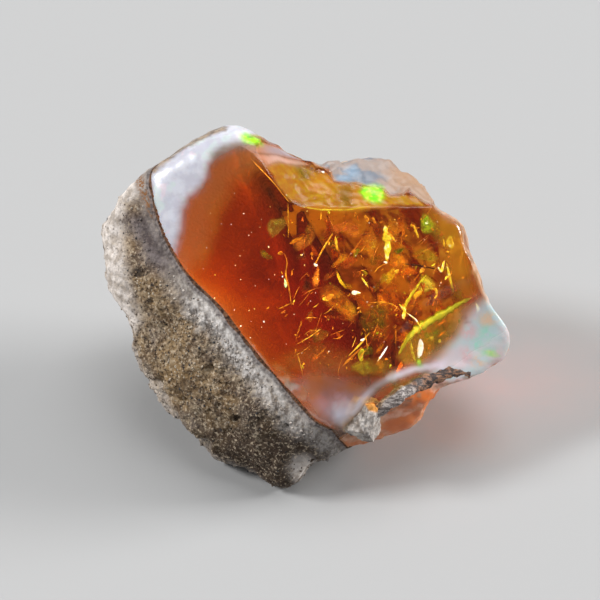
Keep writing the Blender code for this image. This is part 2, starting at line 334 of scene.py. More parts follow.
def add_mesh(name, points, quads, triangles, masks, material, node):
    """A smooth piece from scene points, quads and triangles, with named masks on its points."""
    mesh = bpy.data.meshes.new(name)
    corners = np.concatenate([quads.reshape(-1), triangles.reshape(-1)])
    sizes = np.concatenate([np.full(len(quads), 4), np.full(len(triangles), 3)])
    mesh.vertices.add(len(points))
    mesh.vertices.foreach_set("co", points.reshape(-1))
    mesh.loops.add(len(corners))
    mesh.loops.foreach_set("vertex_index", corners.astype(np.int32))
    mesh.polygons.add(len(sizes))
    starts = np.concatenate([[0], np.cumsum(sizes)[:-1]])
    mesh.polygons.foreach_set("loop_start", starts.astype(np.int32))
    mesh.update(calc_edges=True)
    mesh.validate()
    mesh.shade_smooth()
    for mask, values in masks.items():
        layer = mesh.attributes.new(mask, "FLOAT", "POINT")
        layer.data.foreach_set("value", np.clip(values, 0.0, 1.0).astype(np.float32))
    mesh.materials.append(material)
    piece = bpy.data.objects.new(name, mesh)
    bpy.context.collection.objects.link(piece)
    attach(piece, "root")
    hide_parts(node)
    return piece


# Where things lie on the face: a picture position of the reference view, as A and B in millimetres

PIXEL = 0.11
MIDDLE = 300.0


def seen(across, down):
    """A and B of a place seen square to the face at a pixel of the 600 by 600 frame."""
    return (across - MIDDLE) * PIXEL, (MIDDLE - down) * PIXEL


def past_line(points, start, end, low, high):
    """How far places lie to the left of the line from start to end over the face, as an S-curve."""
    (a_0, b_0), (a_1, b_1) = seen(*start), seen(*end)
    run = math.hypot(a_1 - a_0, b_1 - b_0)
    side = ((a_1 - a_0) * (points[:, 1] - b_0) - (b_1 - b_0) * (points[:, 0] - a_0)) / run
    return smooth_step(side, low, high)


def in_shape(points, corners, soft):
    """1 inside a closed shape over the face given by its pixel corners, 0 outside, soft at its edge."""
    edges = np.array([seen(*corner) for corner in corners])
    inside = np.zeros(len(points), dtype=bool)
    for (a_0, b_0), (a_1, b_1) in zip(edges, np.roll(edges, -1, axis=0)):
        crosses = (points[:, 1] < b_0) != (points[:, 1] < b_1)
        at = a_0 + (points[:, 1] - b_0) * (a_1 - a_0) / (b_1 - b_0 if b_1 != b_0 else 1.0)
        inside ^= crosses & (points[:, 0] < at)
    far = near_path(points, (*corners, corners[0]))
    return smooth_step(np.where(inside, far, -far), -soft, soft)


def spots(points, places):
    """The greatest of several soft round patches over the face, each given by pixel place and radius."""
    mask = np.zeros(len(points))
    for across, down, radius in places:
        a, b = seen(across, down)
        far = np.hypot(points[:, 0] - a, points[:, 1] - b) / (radius * PIXEL)
        mask = np.maximum(mask, np.exp(-far ** 4))
    return mask


def near_path(points, path):
    """Distance over the face from places to a path given by its pixel places."""
    nearest = np.full(len(points), 1e3)
    corners = [np.array(seen(*corner)) for corner in path]
    for start, end in zip(corners[:-1], corners[1:]):
        run = end - start
        share = np.clip(((points[:, :2] - start) @ run) / (run @ run), 0.0, 1.0)
        far = np.linalg.norm(points[:, :2] - start - share[:, None] * run, axis=1)
        nearest = np.minimum(nearest, far)
    return nearest


def ridge_along(points, path, width):
    """1 on a path over the face, falling off to each side as exp(-(distance / width)^2)."""
    return np.exp(-(near_path(points, path) / width) ** 2)


def front_height(across, up):
    """T of the broken front at places over the face: its lowest slope, with the notch and the scoop."""
    def slope(plane):
        (a, b, t), rise_a, rise_b = plane
        return t + rise_a * (across - a) + rise_b * (up - b)
    notch = np.maximum(slope(NOTCH_SIDE), slope(NOTCH_FLOOR))
    reach = SCOOP_RADIUS ** 2 - (across - SCOOP_CENTRE[0]) ** 2 - (up - SCOOP_CENTRE[1]) ** 2
    scoop = SCOOP_CENTRE[2] - np.sqrt(np.maximum(reach, 0.0))
    return np.minimum.reduce([
        slope(WINDOW_LEFT), slope(WINDOW_RIGHT), slope(WINDOW_LOW), slope(UNDERSIDE), notch, scoop])


# The opal

OPAL_ROWS, OPAL_COLUMNS = 240, 400
COLUMN_CROWDING = 0.35
MATRIX_VEIN = (
    (349, 434), (356, 424), (364, 414), (378, 409), (388, 401), (400, 392), (415, 384), (430, 378),
    (444, 373), (460, 373), (472, 375),
)
POTCH_SHAPE = (
    (178, 256), (184, 231), (186, 212), (191, 200), (204, 190), (210, 179), (213, 166), (221, 157),
    (234, 152), (250, 146), (262, 120), (240, 60), (60, 60), (60, 256),
)
HAZE_SHAPE = (
    (186, 268), (204, 262), (212, 240), (214, 216), (226, 200), (232, 186), (246, 174), (262, 168),
    (262, 120), (60, 60), (60, 268),
)
HAZE_LOW = ((288, 356), (318, 346), (350, 360), (376, 378), (344, 402), (306, 394))
DULL_EDGE = ((214, 160), (226, 151), (240, 147), (252, 146))
CRUST_SHAPE = (
    (300, 140), (316, 165), (329, 173), (334, 182), (351, 184), (362, 187), (384, 190), (389, 197),
    (402, 196), (409, 190), (416, 199), (430, 207), (450, 190), (400, 140),
)
YELLOW_SHAPE = (
    (262, 168), (276, 163), (300, 163), (318, 170), (332, 176), (336, 184), (362, 188), (388, 192),
    (416, 196), (424, 208), (398, 206), (380, 209), (345, 214), (320, 212), (300, 206), (284, 198),
)
PINK_SHAPE = ((251, 155), (262, 157), (300, 160), (312, 163), (300, 166), (278, 166), (266, 170))
MAUVE_SHAPE = ((256, 150), (262, 144), (282, 150), (304, 158), (300, 161), (276, 157), (256, 156))
OLIVE_SHAPES = (
    ((299, 166), (306, 167), (310, 174), (309, 182), (302, 180), (298, 172)),
    ((336, 189), (345, 186), (351, 192), (350, 207), (342, 208), (336, 204)),
    ((349, 364), (366, 360), (386, 361), (384, 371), (362, 373), (348, 370)),
    ((425, 330), (448, 318), (462, 318), (456, 336), (438, 348), (424, 350)),
    ((372, 386), (392, 374), (400, 382), (386, 394), (372, 398)),
    ((386, 380), (406, 373), (428, 370), (422, 380), (402, 390), (388, 396)),
)
VIVID_SHAPES = (
    (
        (242, 137), (246, 135), (252, 138), (256, 137), (260, 141), (262, 147), (256, 148), (250, 147),
        (245, 144),
    ),
    ((362, 187), (375, 186), (383, 190), (385, 197), (380, 204), (370, 204), (362, 200), (359, 193)),
    ((416, 358), (420, 359), (421, 365), (417, 364)),
    ((487, 352), (492, 351), (494, 356), (489, 358)),
)
GOLD_SHAPE = (
    (425, 208), (445, 214), (460, 224), (468, 236), (470, 256), (472, 276), (480, 296), (466, 300),
    (452, 285), (446, 252), (436, 228),
)
LIP_SHAPE = (
    (450, 338), (462, 318), (474, 304), (488, 292), (520, 300), (520, 390), (440, 385), (424, 369),
    (438, 354),
)
ZONE_SHAPE = (
    (396, 356), (408, 338), (424, 326), (444, 315), (464, 302), (488, 296), (476, 318), (462, 340),
    (446, 360), (428, 370), (410, 368),
)
LAVENDER_SHAPE = (
    (296, 386), (306, 372), (322, 370), (352, 376), (374, 384), (362, 402), (352, 420), (340, 430),
    (322, 418),
)
LOW_MILK_SHAPE = ((328, 400), (345, 390), (356, 402), (352, 418), (342, 428), (330, 418))
WHITE_STREAK = ((352, 412), (362, 396), (376, 384), (392, 375), (412, 369), (440, 367))
MINT = ((486, 335, 8), (490, 354, 7), (476, 346, 6))
ROSE = ((468, 333, 9), (466, 356, 7), (338, 398, 9))
PEACH = ((487, 321, 9), (480, 362, 6))
BLUE = ((352, 172, 8), (344, 180, 6))
SPECKS = ((313, 168, 3), (253, 151, 3), (469, 318, 4))
NOTCH_CREASE = ((320, 173), (334, 166), (350, 158))
POTCH_LEDGE = ((152, 205), (160, 196), (170, 207), (178, 218), (184, 205), (196, 190))
SEAM_BLUSH = ((166, 222), (178, 250), (190, 272))
SEAM_EDGE = ((184, 268), (215, 303), (245, 338), (300, 402), (330, 424))
BACK_FILM = ((150, 172), (185, 145), (222, 128))
STAINED_EDGE = ((388, 413), (406, 402), (424, 391), (440, 385), (458, 381), (474, 377))
FROSTED_EDGE = ((436, 205), (449, 217), (461, 221), (468, 229), (473, 246), (475, 270), (488, 298))


def polar_ways(pole, front, turns, tilts):
    """Directions on a grid: tilts from the pole in rows, turns round it in columns, 0 at the front."""
    pole = unit(pole)
    ahead = unit(np.asarray(front) - pole * (np.asarray(front) @ pole))
    side = np.cross(pole, ahead)
    around = np.cos(turns)[..., None] * ahead + np.sin(turns)[..., None] * side
    return np.cos(tilts)[..., None] * pole + np.sin(tilts)[..., None] * around


def crowded_turns(columns):
    """Turns round a pole, closer together at the front."""
    even = np.linspace(0.0, 2.0 * math.pi, columns, endpoint=False)
    return even - COLUMN_CROWDING * np.sin(even)


def potch_mask(points):
    """The milk-white end at the upper left of the face, inside a wavy shape with a soft edge."""
    wave = 0.25 * layered_noise(points, 3.0, 51, 2)
    return in_shape(points + wave[:, None], POTCH_SHAPE, 1.05) * smooth_step(points[:, 2], -16.0, -9.0)


def crust_mask(points):
    """The rough pale skin that shows at the upper right of the face."""
    moved = points + 0.2 * layered_noise(points, 1.6, 55, 3)[:, None]
    return in_shape(moved, CRUST_SHAPE, 0.25) * smooth_step(points[:, 2], -5.0, -2.0)


def under_mask(points):
    """The rough break below the lip."""
    low = 1.0 - past_line(points, (345, 432), (420, 384), -0.3, 0.0)
    tip = 1.0 - past_line(points, (420, 384), (470, 375), -0.3, 0.0)
    low = low + tip * smooth_step(points[:, 0], 12.0, 14.0)
    return np.clip(low, 0.0, 1.0) * smooth_step(points[:, 0], 3.0, 5.0)


def opal_radius(ways):
    """The opal's outside, cut back to the bowl on the rock's side of its end plane, and its breaks."""
    whole, broken = whole_radius(ways)
    points = CORE + ways * whole[:, None]
    drop = front_height(points[:, 0], points[:, 1]) - points[:, 2]
    facing = 1.0 - smooth_step(drop, 0.5, 1.2)
    broken = np.maximum(broken, facing)
    lumps = layered_noise(points, 2.4, 21, 3)
    crumbs = layered_noise(points, 0.8, 31, 3)
    grain, _ = cell_noise(points, 0.7, 35)
    notch = facing * past_line(points, (250, 150), (310, 212), -0.2, 0.4)
    notch = notch * past_line(points, (300, 212), (400, 206), -0.2, 0.4)
    potch, crust = potch_mask(points), crust_mask(points)
    skin = (1.0 - broken) * (1.0 - 0.8 * potch)
    rough = np.clip(np.maximum(np.maximum(skin, crust), under_mask(points)), 0.0, 1.0)
    ripples = np.sin(0.85 * np.hypot(points[:, 0] + 3.0, points[:, 1] - 14.0) ** 1.12)
    whole = whole + rough * (0.17 * lumps + 0.09 * crumbs + 0.12 * (0.3 - grain))
    ridges = 1.0 - 2.0 * np.abs(layered_noise(points, 1.6, 37, 3))
    whole = whole + crust * (0.22 * lattice_noise(points, 1.7, 39) + 0.16 * ridges + 0.02)
    whole = whole + under_mask(points) * 0.15 * ridges
    whole = whole - 0.30 * crust * ridge_along(points, NOTCH_CREASE, 0.22)
    whole = whole + notch * (1.0 - crust) * 0.10 * crumbs
    whole = whole + facing * (1.0 - rough) * (0.012 * ripples + 0.03 * lumps)
    whole = whole + potch * (0.09 * layered_noise(points, 1.7, 41, 3) - 0.06 * smooth_step(crumbs, 0.2, 0.7))
    whole = whole + potch * facing * 0.10 * ridge_along(points, POTCH_LEDGE, 0.5) * (0.6 + crumbs)
    bowl = bowl_radius(ways)
    out_of_rock = ways @ ROCK_END_NORMAL
    at_seam = 1.0 - smooth_step(np.abs(bowl - whole), 0.0, 0.4)
    whole = whole - 0.12 * at_seam * smooth_step(0.12 - out_of_rock, 0.0, 0.1)
    return np.where(out_of_rock < 0.0, smooth_least(whole, bowl, 0.06), whole), broken


def tucked(points, gap):
    """Places drawn towards the core where needed, so that all lie a gap or more inside the opal."""
    out = points - CORE
    far = np.linalg.norm(out, axis=-1)
    ways = (out / far[..., None]).reshape(-1, 3)
    limit = opal_radius(ways)[0].reshape(far.shape) - gap
    return CORE + out * np.minimum(1.0, limit / far)[..., None]


def opal_masks(points, broken):
    """Where each look of the opal shows, from 0 to 1, by place over the face and by skin or break."""
    wave = layered_noise(points, 3.0, 61, 3)
    small = layered_noise(points, 0.9, 65, 3)
    moved = points + 0.25 * wave[:, None] + 0.12 * small[:, None]
    front = smooth_step(points[:, 2], -4.0, -1.5)
    facing_front = front * smooth_step(points[:, 2] - front_height(points[:, 0], points[:, 1]), -1.2, -0.5)
    potch, crust, under = potch_mask(points), crust_mask(points), under_mask(points)
    lip = in_shape(moved, LIP_SHAPE, 1.3)
    streak = ridge_along(moved, WHITE_STREAK, 0.6)
    edge = ridge_along(moved, SEAM_EDGE, 0.3)
    back_film = 1.0 - smooth_step(near_path(points, BACK_FILM) + 0.3 * small, 0.2, 0.9)
    back_film = back_film * (1.0 - smooth_step(points[:, 2] + 0.4 * small, 1.8, 3.0))
    rim = 4.0 * broken * (1.0 - broken) * smooth_step(points[:, 0], 3.0, 8.0)
    stained = 1.0 - smooth_step(near_path(points, STAINED_EDGE) + 0.35 * small, 0.1, 0.4)
    stained = stained * smooth_step(small + 0.3 * wave, -0.5, 0.1)
    frosted = 1.0 - smooth_step(near_path(points, FROSTED_EDGE) + 0.4 * small, 0.25, 0.8)
    olive = np.max([in_shape(moved, shape, 0.8) for shape in OLIVE_SHAPES], axis=0)
    wavy = points + 0.16 * small[:, None]
    vivid = np.max([in_shape(wavy, shape, 0.42) for shape in VIVID_SHAPES], axis=0)
    hazy = np.maximum(in_shape(moved, HAZE_SHAPE, 1.5), 0.7 * in_shape(moved, HAZE_LOW, 1.5))
    lavender = np.maximum(in_shape(moved, LAVENDER_SHAPE, 1.2), 0.6 * ridge_along(moved, SEAM_BLUSH, 0.7))
    milky_band = np.maximum(np.maximum(streak, in_shape(moved, LOW_MILK_SHAPE, 0.9)), 0.5 * edge)
    return {
        "potch": potch,
        "skin": np.clip(1.0 - broken, 0.0, 1.0),
        "crust": crust,
        "tan": crust * smooth_step(moved[:, 0], 8.0, 12.0) * 0.8,
        "lip": lip * front,
        "zone": in_shape(moved, ZONE_SHAPE, 0.5) * front,
        "gold": in_shape(moved, GOLD_SHAPE, 0.8) * front,
        # yellow: a golden milky colour over the thin notch, partly the opal's own tone and partly painted light
        # that shines through from behind
        "yellow": in_shape(moved, YELLOW_SHAPE, 0.3) * (1.0 - crust) * front,
        "lavender": lavender * front,
        "band": milky_band * front,
        "blush": in_shape(moved, PINK_SHAPE, 0.3) * front,
        "mauve": in_shape(points, MAUVE_SHAPE, 0.2) * front,
        "dull": ridge_along(moved, DULL_EDGE, 0.55) * front,
        "haze": hazy * facing_front,
        "under": under,
        "film": np.maximum(back_film, 0.9 * stained * front),
        "frost": np.clip(np.maximum(rim, frosted) * (0.75 + 0.6 * small), 0.0, 1.0),
        "vivid": vivid * front,
        "olive": olive * front,
        "mint": spots(moved, MINT) * front,
        "rose": spots(moved, ROSE) * front,
        "peach": spots(moved, PEACH) * front,
        "blue": spots(moved, BLUE) * front,
        "specks": spots(points + 0.25 * small[:, None], SPECKS) * smooth_step(small, 0.0, 0.25) * front,
    }


def make_opal(material):
    """The whole opal, one closed surface about the core; its pole is square to the rock's end plane."""
    split = OPAL_ROWS // 2
    front_tilts = np.linspace(0.0, math.pi / 2, split + 1)[1:] - 1e-4
    back_tilts = np.linspace(math.pi / 2, math.pi, OPAL_ROWS - split)[:-1] + 1e-4
    tilts, turns = np.meshgrid(
        np.concatenate([front_tilts, back_tilts]), crowded_turns(OPAL_COLUMNS), indexing="ij")
    ways = polar_ways(ROCK_END_NORMAL, (0.0, 0.0, 1.0), turns, tilts).reshape(-1, 3)
    ways = np.concatenate([ways, [ROCK_END_NORMAL, -ROCK_END_NORMAL]])
    radius, broken = opal_radius(ways)
    points = CORE + ways * radius[:, None]
    quads, triangles = sheet_faces(len(tilts), OPAL_COLUMNS)
    masks = opal_masks(points, broken)
    add_mesh("opal_body", to_scene(points), quads, triangles, masks, material, "opal")


# Shapes repeated inside and over the stone

def many_faces(faces, count, step):
    """The faces of one small shape, repeated for a count of them whose points follow one another."""
    return (faces[None] + step * np.arange(count)[:, None, None]).reshape(-1, faces.shape[1])


def sheet_faces(rows, columns):
    """Quads and end triangles of a closed shape: a grid of rows and its two tips, facing outwards."""
    tips = rows * columns
    first = fan_faces(tips, np.arange(columns), False)
    last = fan_faces(tips + 1, np.arange(columns) + (rows - 1) * columns, True)
    return grid_faces(rows, columns)[:, ::-1], np.concatenate([first, last])


FLAKE_SHARES, FLAKE_SIDES = (0.45, 0.8, 1.0, 0.8, 0.45), 12


def flakes(centres, normals, turns, lengths, widths, thickness, bend, seed):
    """Thin curved lenses: (x, y) = share * (length cos s, width sin s), uneven; z = +-h (1 - share^2) + k x^2."""
    draw = np.random.default_rng(seed)
    count = len(centres)
    around = np.linspace(0.0, 2.0 * math.pi, FLAKE_SIDES, endpoint=False)
    phases = draw.uniform(0.0, 2.0 * math.pi, (2, count, 1))
    uneven = 1.0 + 0.22 * np.sin(2.0 * around + phases[0]) + 0.16 * np.sin(3.0 * around + phases[1])
    shares = np.array(FLAKE_SHARES)
    side = np.array((1.0, 1.0, 0.0, -1.0, -1.0))
    x = shares[None, :, None] * (np.cos(around) * uneven)[:, None, :] * lengths[:, None, None]
    y = shares[None, :, None] * (np.sin(around) * uneven)[:, None, :] * widths[:, None, None]
    z = (side * (1.0 - shares ** 2) * thickness)[None, :, None] + bend * x ** 2
    tips = np.zeros((count, 2, 3))
    tips[:, :, 2] = np.array((thickness, -thickness))
    local = np.concatenate([np.stack([x, y, z], axis=-1).reshape(count, -1, 3), tips], axis=1)
    normals = normals / np.linalg.norm(normals, axis=1)[:, None]
    upright = np.tile(np.array((0.0, 1.0, 0.0)), (count, 1))
    across = np.cross(upright, normals)
    across = across / np.linalg.norm(across, axis=1)[:, None]
    upward = np.cross(normals, across)
    along = np.cos(turns)[:, None] * across + np.sin(turns)[:, None] * upward
    wide = np.cross(normals, along)
    return (
        centres[:, None] + local[..., 0:1] * along[:, None] + local[..., 1:2] * wide[:, None]
        + local[..., 2:3] * normals[:, None])


def smooth_path(path, count, passes):
    """Even places along a path over the face with its corners rounded, and how far along each lies."""
    corners = np.array([seen(*corner) for corner in path])
    steps = np.linalg.norm(np.diff(corners, axis=0), axis=1)
    stations = np.concatenate([[0.0], np.cumsum(steps)]) / steps.sum()
    share = np.linspace(0.0, 1.0, count)
    middle = np.stack([np.interp(share, stations, corners[:, axis]) for axis in (0, 1)], axis=1)
    for _ in range(passes):
        middle[1:-1] = 0.25 * middle[:-2] + 0.5 * middle[1:-1] + 0.25 * middle[2:]
    return middle, share


def strand(path, depth, width, thickness, rows, sides):
    """A thin tapering strip along a path of pixel places, a depth under the front: its closed tube."""
    middle, share = smooth_path(path, rows + 2, 2)
    heading = np.gradient(middle, axis=0)
    heading = heading / np.linalg.norm(heading, axis=1)[:, None]
    sideways = np.stack([-heading[:, 1], heading[:, 0], np.zeros(rows + 2)], axis=1)
    height = front_height(middle[:, 0], middle[:, 1]) - depth
    centre = np.concatenate([middle, height[:, None]], axis=1)
    swell = np.sin(math.pi * share) ** 0.6 * (1.0 + 0.6 * lattice_noise(centre, 0.35, 175))
    around = np.linspace(0.0, 2.0 * math.pi, sides, endpoint=False)
    ring = (
        np.cos(around)[None, :, None] * sideways[:, None] * 0.5 * width
        + np.sin(around)[None, :, None] * np.array((0.0, 0.0, 0.5 * thickness)))
    body = (centre[:, None] + swell[:, None, None] * ring)[1:-1].reshape(-1, 3)
    return np.concatenate([body, centre[[0]], centre[[-1]]])


# The flashes and fracture glints inside the opal: path, depth, width in pixels, tone, green
# Tone runs from dark red-brown at 0 by orange, gold and yellow to white at 1: painted light, as the dark end
# paints shade in cracks and the bright end paints glints of reflected light

STRANDS = (
    (((313, 268), (322, 250), (332, 234)), 0.8, 1.8, 0.62, 0.0),
    (((334, 238), (336, 252)), 0.9, 2.4, 0.72, 0.1),
    (((383, 226), (386, 244), (385, 262)), 1.2, 7.5, 0.80, 0.35),
    (((387, 233), (394, 243)), 1.0, 1.6, 0.72, 0.2),
    (((411, 224), (414, 231), (417, 239)), 1.2, 2.2, 0.66, 0.1),
    (((410, 226), (415, 229), (418, 228)), 1.2, 1.4, 0.62, 0.0),
    (((442, 239), (443, 247)), 1.0, 1.6, 0.72, 0.1),
    (((443, 261), (440, 272), (436, 267)), 0.9, 2.8, 0.86, 0.2),
    (((445, 263), (448, 276), (452, 292)), 1.0, 2.6, 0.78, 0.3),
    (((360, 278), (367, 288)), 0.8, 2.2, 0.84, 0.1),
    (((285, 254), (288, 263), (286, 275), (290, 291), (292, 306)), 0.5, 1.6, 0.55, 0.0),
    (((279, 309), (292, 303)), 0.6, 1.4, 0.52, 0.0),
    (((429, 289), (434, 289), (435, 294), (432, 298)), 1.0, 3.0, 0.72, 0.0),
    (((425, 275), (414, 288), (405, 302), (402, 311), (401, 318)), 0.9, 3.0, 0.66, 0.5),
    (((397, 304), (403, 310), (401, 319)), 0.8, 3.2, 0.80, 0.2),
    (((367, 303), (380, 302), (390, 304), (400, 311)), 0.8, 1.5, 0.58, 0.0),
    (((404, 312), (414, 319), (421, 330)), 0.3, 1.5, 0.86, 0.0),
    (((396, 355), (403, 342), (412, 331), (428, 321), (445, 312), (459, 303), (472, 297)),
     0.5, 8.5, 0.42, 0.6),
    (((409, 340), (410, 350), (414, 361)), 0.6, 2.6, 0.66, 0.4),
    (((347, 355), (360, 342), (368, 332)), 0.5, 1.7, 0.66, 0.0),
    (((341, 365), (350, 356), (361, 346)), 0.6, 2.6, 0.45, 0.0),
    (((376, 360), (381, 353), (386, 345)), 0.3, 2.2, 0.95, 0.0),
    (((296, 344), (308, 337), (320, 328)), 0.3, 1.0, 0.60, 0.0),
    (((297, 352), (301, 366), (304, 380)), 0.3, 1.0, 0.60, 0.0),
    (((300, 209), (320, 212), (345, 212), (375, 207)), 0.15, 1.6, 0.70, 0.3),
    (((250, 158), (262, 172), (275, 186), (290, 204)), 0.15, 1.2, 0.55, 0.0),
    (((400, 264), (418, 266), (438, 270)), 0.7, 1.6, 0.05, 0.0),
    (((288, 205), (289, 222), (289, 240)), 0.6, 1.3, 0.50, 0.1),
    (((325, 215), (330, 226), (334, 236)), 0.9, 2.4, 0.30, 0.0),
    (((360, 240), (352, 252), (346, 258)), 1.2, 1.8, 0.45, 0.0),
    (((476, 303), (479, 309), (477, 314)), 0.2, 2.4, 0.92, 0.1),
    (((458, 240), (461, 256), (458, 270)), 0.8, 2.0, 0.45, 0.0),
)
# Flat flashes: place, depth, length and width in pixels, turn in degrees, tilts across and up, tone, green
FLASHES = (
    ((420, 349), 0.12, 11.5, 3.4, 94, 0.05, 0.05, 0.99, 0.0),
    ((449, 243), 1.2, 6.0, 4.0, 80, 0.2, 0.1, 0.76, 0.2),
    ((354, 293), 0.8, 4.2, 2.2, -15, 0.1, 0.1, 0.93, 0.1),
    ((327, 298), 1.0, 5.0, 3.5, 20, 0.0, 0.2, 0.62, 0.0),
    ((286, 284), 0.2, 4.5, 1.3, 105, 0.1, 0.0, 0.90, 0.7),
    ((395, 272), 0.8, 2.6, 1.8, 60, 0.1, 0.0, 0.66, 0.0),
    ((384, 263), 0.7, 1.6, 1.2, 0, 0.0, 0.0, 0.99, 0.0),
    ((425, 224), 0.6, 1.4, 1.0, 0, 0.0, 0.0, 0.99, 0.4),
    ((361, 339), 0.4, 2.2, 1.2, 40, 0.0, 0.0, 0.92, 0.0),
    ((431, 338), 0.4, 2.4, 2.0, 0, 0.0, 0.0, 0.66, 0.0),
    ((439, 341), 0.4, 2.0, 1.8, 0, 0.0, 0.0, 0.66, 0.0),
    ((315, 266), 0.6, 1.6, 1.6, 0, 0.0, 0.0, 0.86, 0.0),
    ((365, 220), 1.2, 3.6, 2.0, 100, 0.2, 0.1, 0.55, 0.0),
    ((418, 362), 0.4, 3.0, 1.6, 100, 0.1, 0.1, 0.60, 1.0),
    ((323, 173), 0.2, 1.6, 1.4, 0, 0.0, 0.0, 0.97, 0.0),
)
# Broad sheets of old cracks that tint what lies behind: as the flashes, deeper and larger
SHEETS = (
    ((277, 228), 1.2, 14.0, 10.0, 75, -0.3, 0.1, 0.20, 0.26),
    ((267, 256), 1.0, 8.0, 5.0, -30, 0.2, -0.2, 0.22, 0.30),
    ((426, 225), 0.9, 13.0, 10.0, 60, 0.2, 0.1, 0.40, 0.9),
    ((392, 232), 1.6, 13.0, 9.0, 80, 0.1, 0.1, 0.42, 0.1),
    ((352, 232), 1.4, 11.0, 7.0, 20, 0.1, 0.2, 0.42, 0.0),
    ((454, 245), 1.2, 14.0, 9.0, 80, 0.0, 0.1, 0.50, 0.1),
    ((306, 238), 2.4, 16.0, 11.0, 60, -0.5, 0.1, 0.22, 0.1),
    ((246, 176), 1.0, 17.0, 11.0, 65, 0.1, 0.1, 0.26, 0.0),
    ((341, 228), 2.2, 13.0, 9.0, 20, 0.1, 0.4, 0.28, 0.0),
    ((373, 320), 2.0, 24.0, 20.0, 30, 0.1, -0.3, 0.20, 0.25),
    ((424, 256), 2.4, 14.0, 10.0, -10, -0.2, 0.3, 0.32, 0.5),
    ((410, 300), 2.0, 11.0, 7.0, 40, 0.3, 0.2, 0.24, 0.0),
    ((337, 312), 2.2, 15.0, 8.0, 10, 0.1, -0.4, 0.12, 0.0),
    ((360, 366), 1.6, 14.0, 8.0, 15, 0.0, 0.2, 0.26, 0.5),
    ((397, 236), 2.6, 12.0, 8.0, 70, 0.4, 0.0, 0.30, 0.1),
    ((455, 262), 2.2, 13.0, 7.0, 85, -0.4, 0.0, 0.26, 0.0),
    ((345, 262), 2.2, 13.0, 9.0, 30, -0.2, 0.4, 0.26, 0.0),
    ((306, 285), 2.4, 10.0, 7.0, 80, 0.4, 0.0, 0.10, 0.0),
    ((318, 334), 2.0, 13.0, 8.0, 30, 0.2, 0.2, 0.16, 0.1),
    ((430, 335), 1.4, 11.0, 7.0, 20, 0.1, 0.1, 0.32, 0.7),
    ((318, 198), 0.5, 13.0, 7.0, 10, 0.1, -0.6, 0.52, 0.15),
)
FLECKS, FLECK_SEED = 500, 131
VEILS, VEIL_SEED = 90, 135
HAIRS, HAIR_SEED = 60, 137
DUST_SPECKS, DUST_SEED = 110, 151


def named_flakes(table, thickness, bend, seed):
    """The points and looks of flakes that are listed one by one."""
    places = np.array([seen(*row[0]) for row in table])
    rows = np.array([row[1:] for row in table])
    depth, length, width, turn, lean_a, lean_b, tone, green = rows.T
    height = front_height(places[:, 0], places[:, 1]) - depth
    centres = np.concatenate([places, height[:, None]], axis=1)
    normals = np.stack([lean_a, lean_b, np.ones(len(rows))], axis=1)
    points = flakes(
        centres, normals, np.radians(turn), length * PIXEL, width * PIXEL, thickness, bend, seed)
    return points, tone, green


def strewn(across, down, depth):
    """Places under the front at pixel positions and depths in millimetres."""
    places = np.stack([(across - MIDDLE) * PIXEL, (MIDDLE - down) * PIXEL], axis=1)
    return np.concatenate([places, (front_height(places[:, 0], places[:, 1]) - depth)[:, None]], axis=1)


FLECK_KIND = {
    "lean": 0.5, "length": 0.13, "lengths": 0.55, "width": (0.15, 0.6), "turns": (1.9, 0.7), "turning": 0.4,
    "thickness": 0.015, "tone": 0.48, "tones": (0.2, 0.85), "green": (0.12, 0.6),
}
VEIL_KIND = {
    "lean": 0.45, "length": 1.0, "lengths": 0.45, "width": (0.25, 0.8), "turns": (1.9, 0.6), "turning": 0.5,
    "thickness": 0.02, "tone": 0.42, "tones": (0.08, 0.62), "green": (0.2, 0.5),
}
FACE_BEND, TONE_SPREAD = 0.1, 0.13


def crack_faces(draw, centres, kind, seed):
    """Crack faces at given places: their lean, size, turn, tone and green are drawn by their kind."""
    count = len(centres)
    lean = draw.normal(0.0, kind["lean"], (count, 2))
    normals = np.concatenate([lean, np.ones((count, 1))], axis=1)
    length = draw.lognormal(math.log(kind["length"]), kind["lengths"], count)
    width = length * draw.uniform(*kind["width"], count)
    turn = np.where(draw.random(count) < 0.5, *kind["turns"]) + draw.normal(0.0, kind["turning"], count)
    points = flakes(centres, normals, turn, length, width, kind["thickness"], FACE_BEND, seed)
    tone = np.clip(draw.normal(kind["tone"], TONE_SPREAD, count), *kind["tones"])
    share, green = kind["green"]
    return points, tone, np.where(draw.random(count) < share, green, 0.0)


def fill_flecks():
    """Tiny bright crack faces: half lie along the named strands, half are strewn through the right side."""
    draw = np.random.default_rng(FLECK_SEED)
    starts = np.array([row[0][0] for row in STRANDS], dtype=float)
    ends = np.array([row[0][-1] for row in STRANDS], dtype=float)
    pick = draw.integers(0, len(STRANDS), FLECKS)
    spot = draw.random(FLECKS)[:, None]
    along = starts[pick] + spot * (ends[pick] - starts[pick])
    along = along + draw.normal(0.0, 5.0, along.shape)
    loose = np.stack([draw.uniform(296.0, 462.0, FLECKS), draw.uniform(216.0, 368.0, FLECKS)], axis=1)
    clear = (along[:, 0] > 262.0) & (along[:, 1] > 214.0) & (along[:, 1] < 368.0)
    near = (draw.random(FLECKS) < 0.55) & clear
    at = np.where(near[:, None], along, loose)
    centres = strewn(at[:, 0], at[:, 1], draw.uniform(0.3, 3.0, FLECKS))
    return crack_faces(draw, centres, FLECK_KIND, FLECK_SEED + 1)


def fill_veils():
    """Broad soft-edged crack faces strewn through the clear right side, lighter and darker."""
    draw = np.random.default_rng(VEIL_SEED)
    centres = strewn(
        draw.uniform(300.0, 458.0, VEILS), draw.uniform(222.0, 364.0, VEILS), draw.uniform(0.8, 4.5, VEILS))
    return crack_faces(draw, centres, VEIL_KIND, VEIL_SEED + 1)


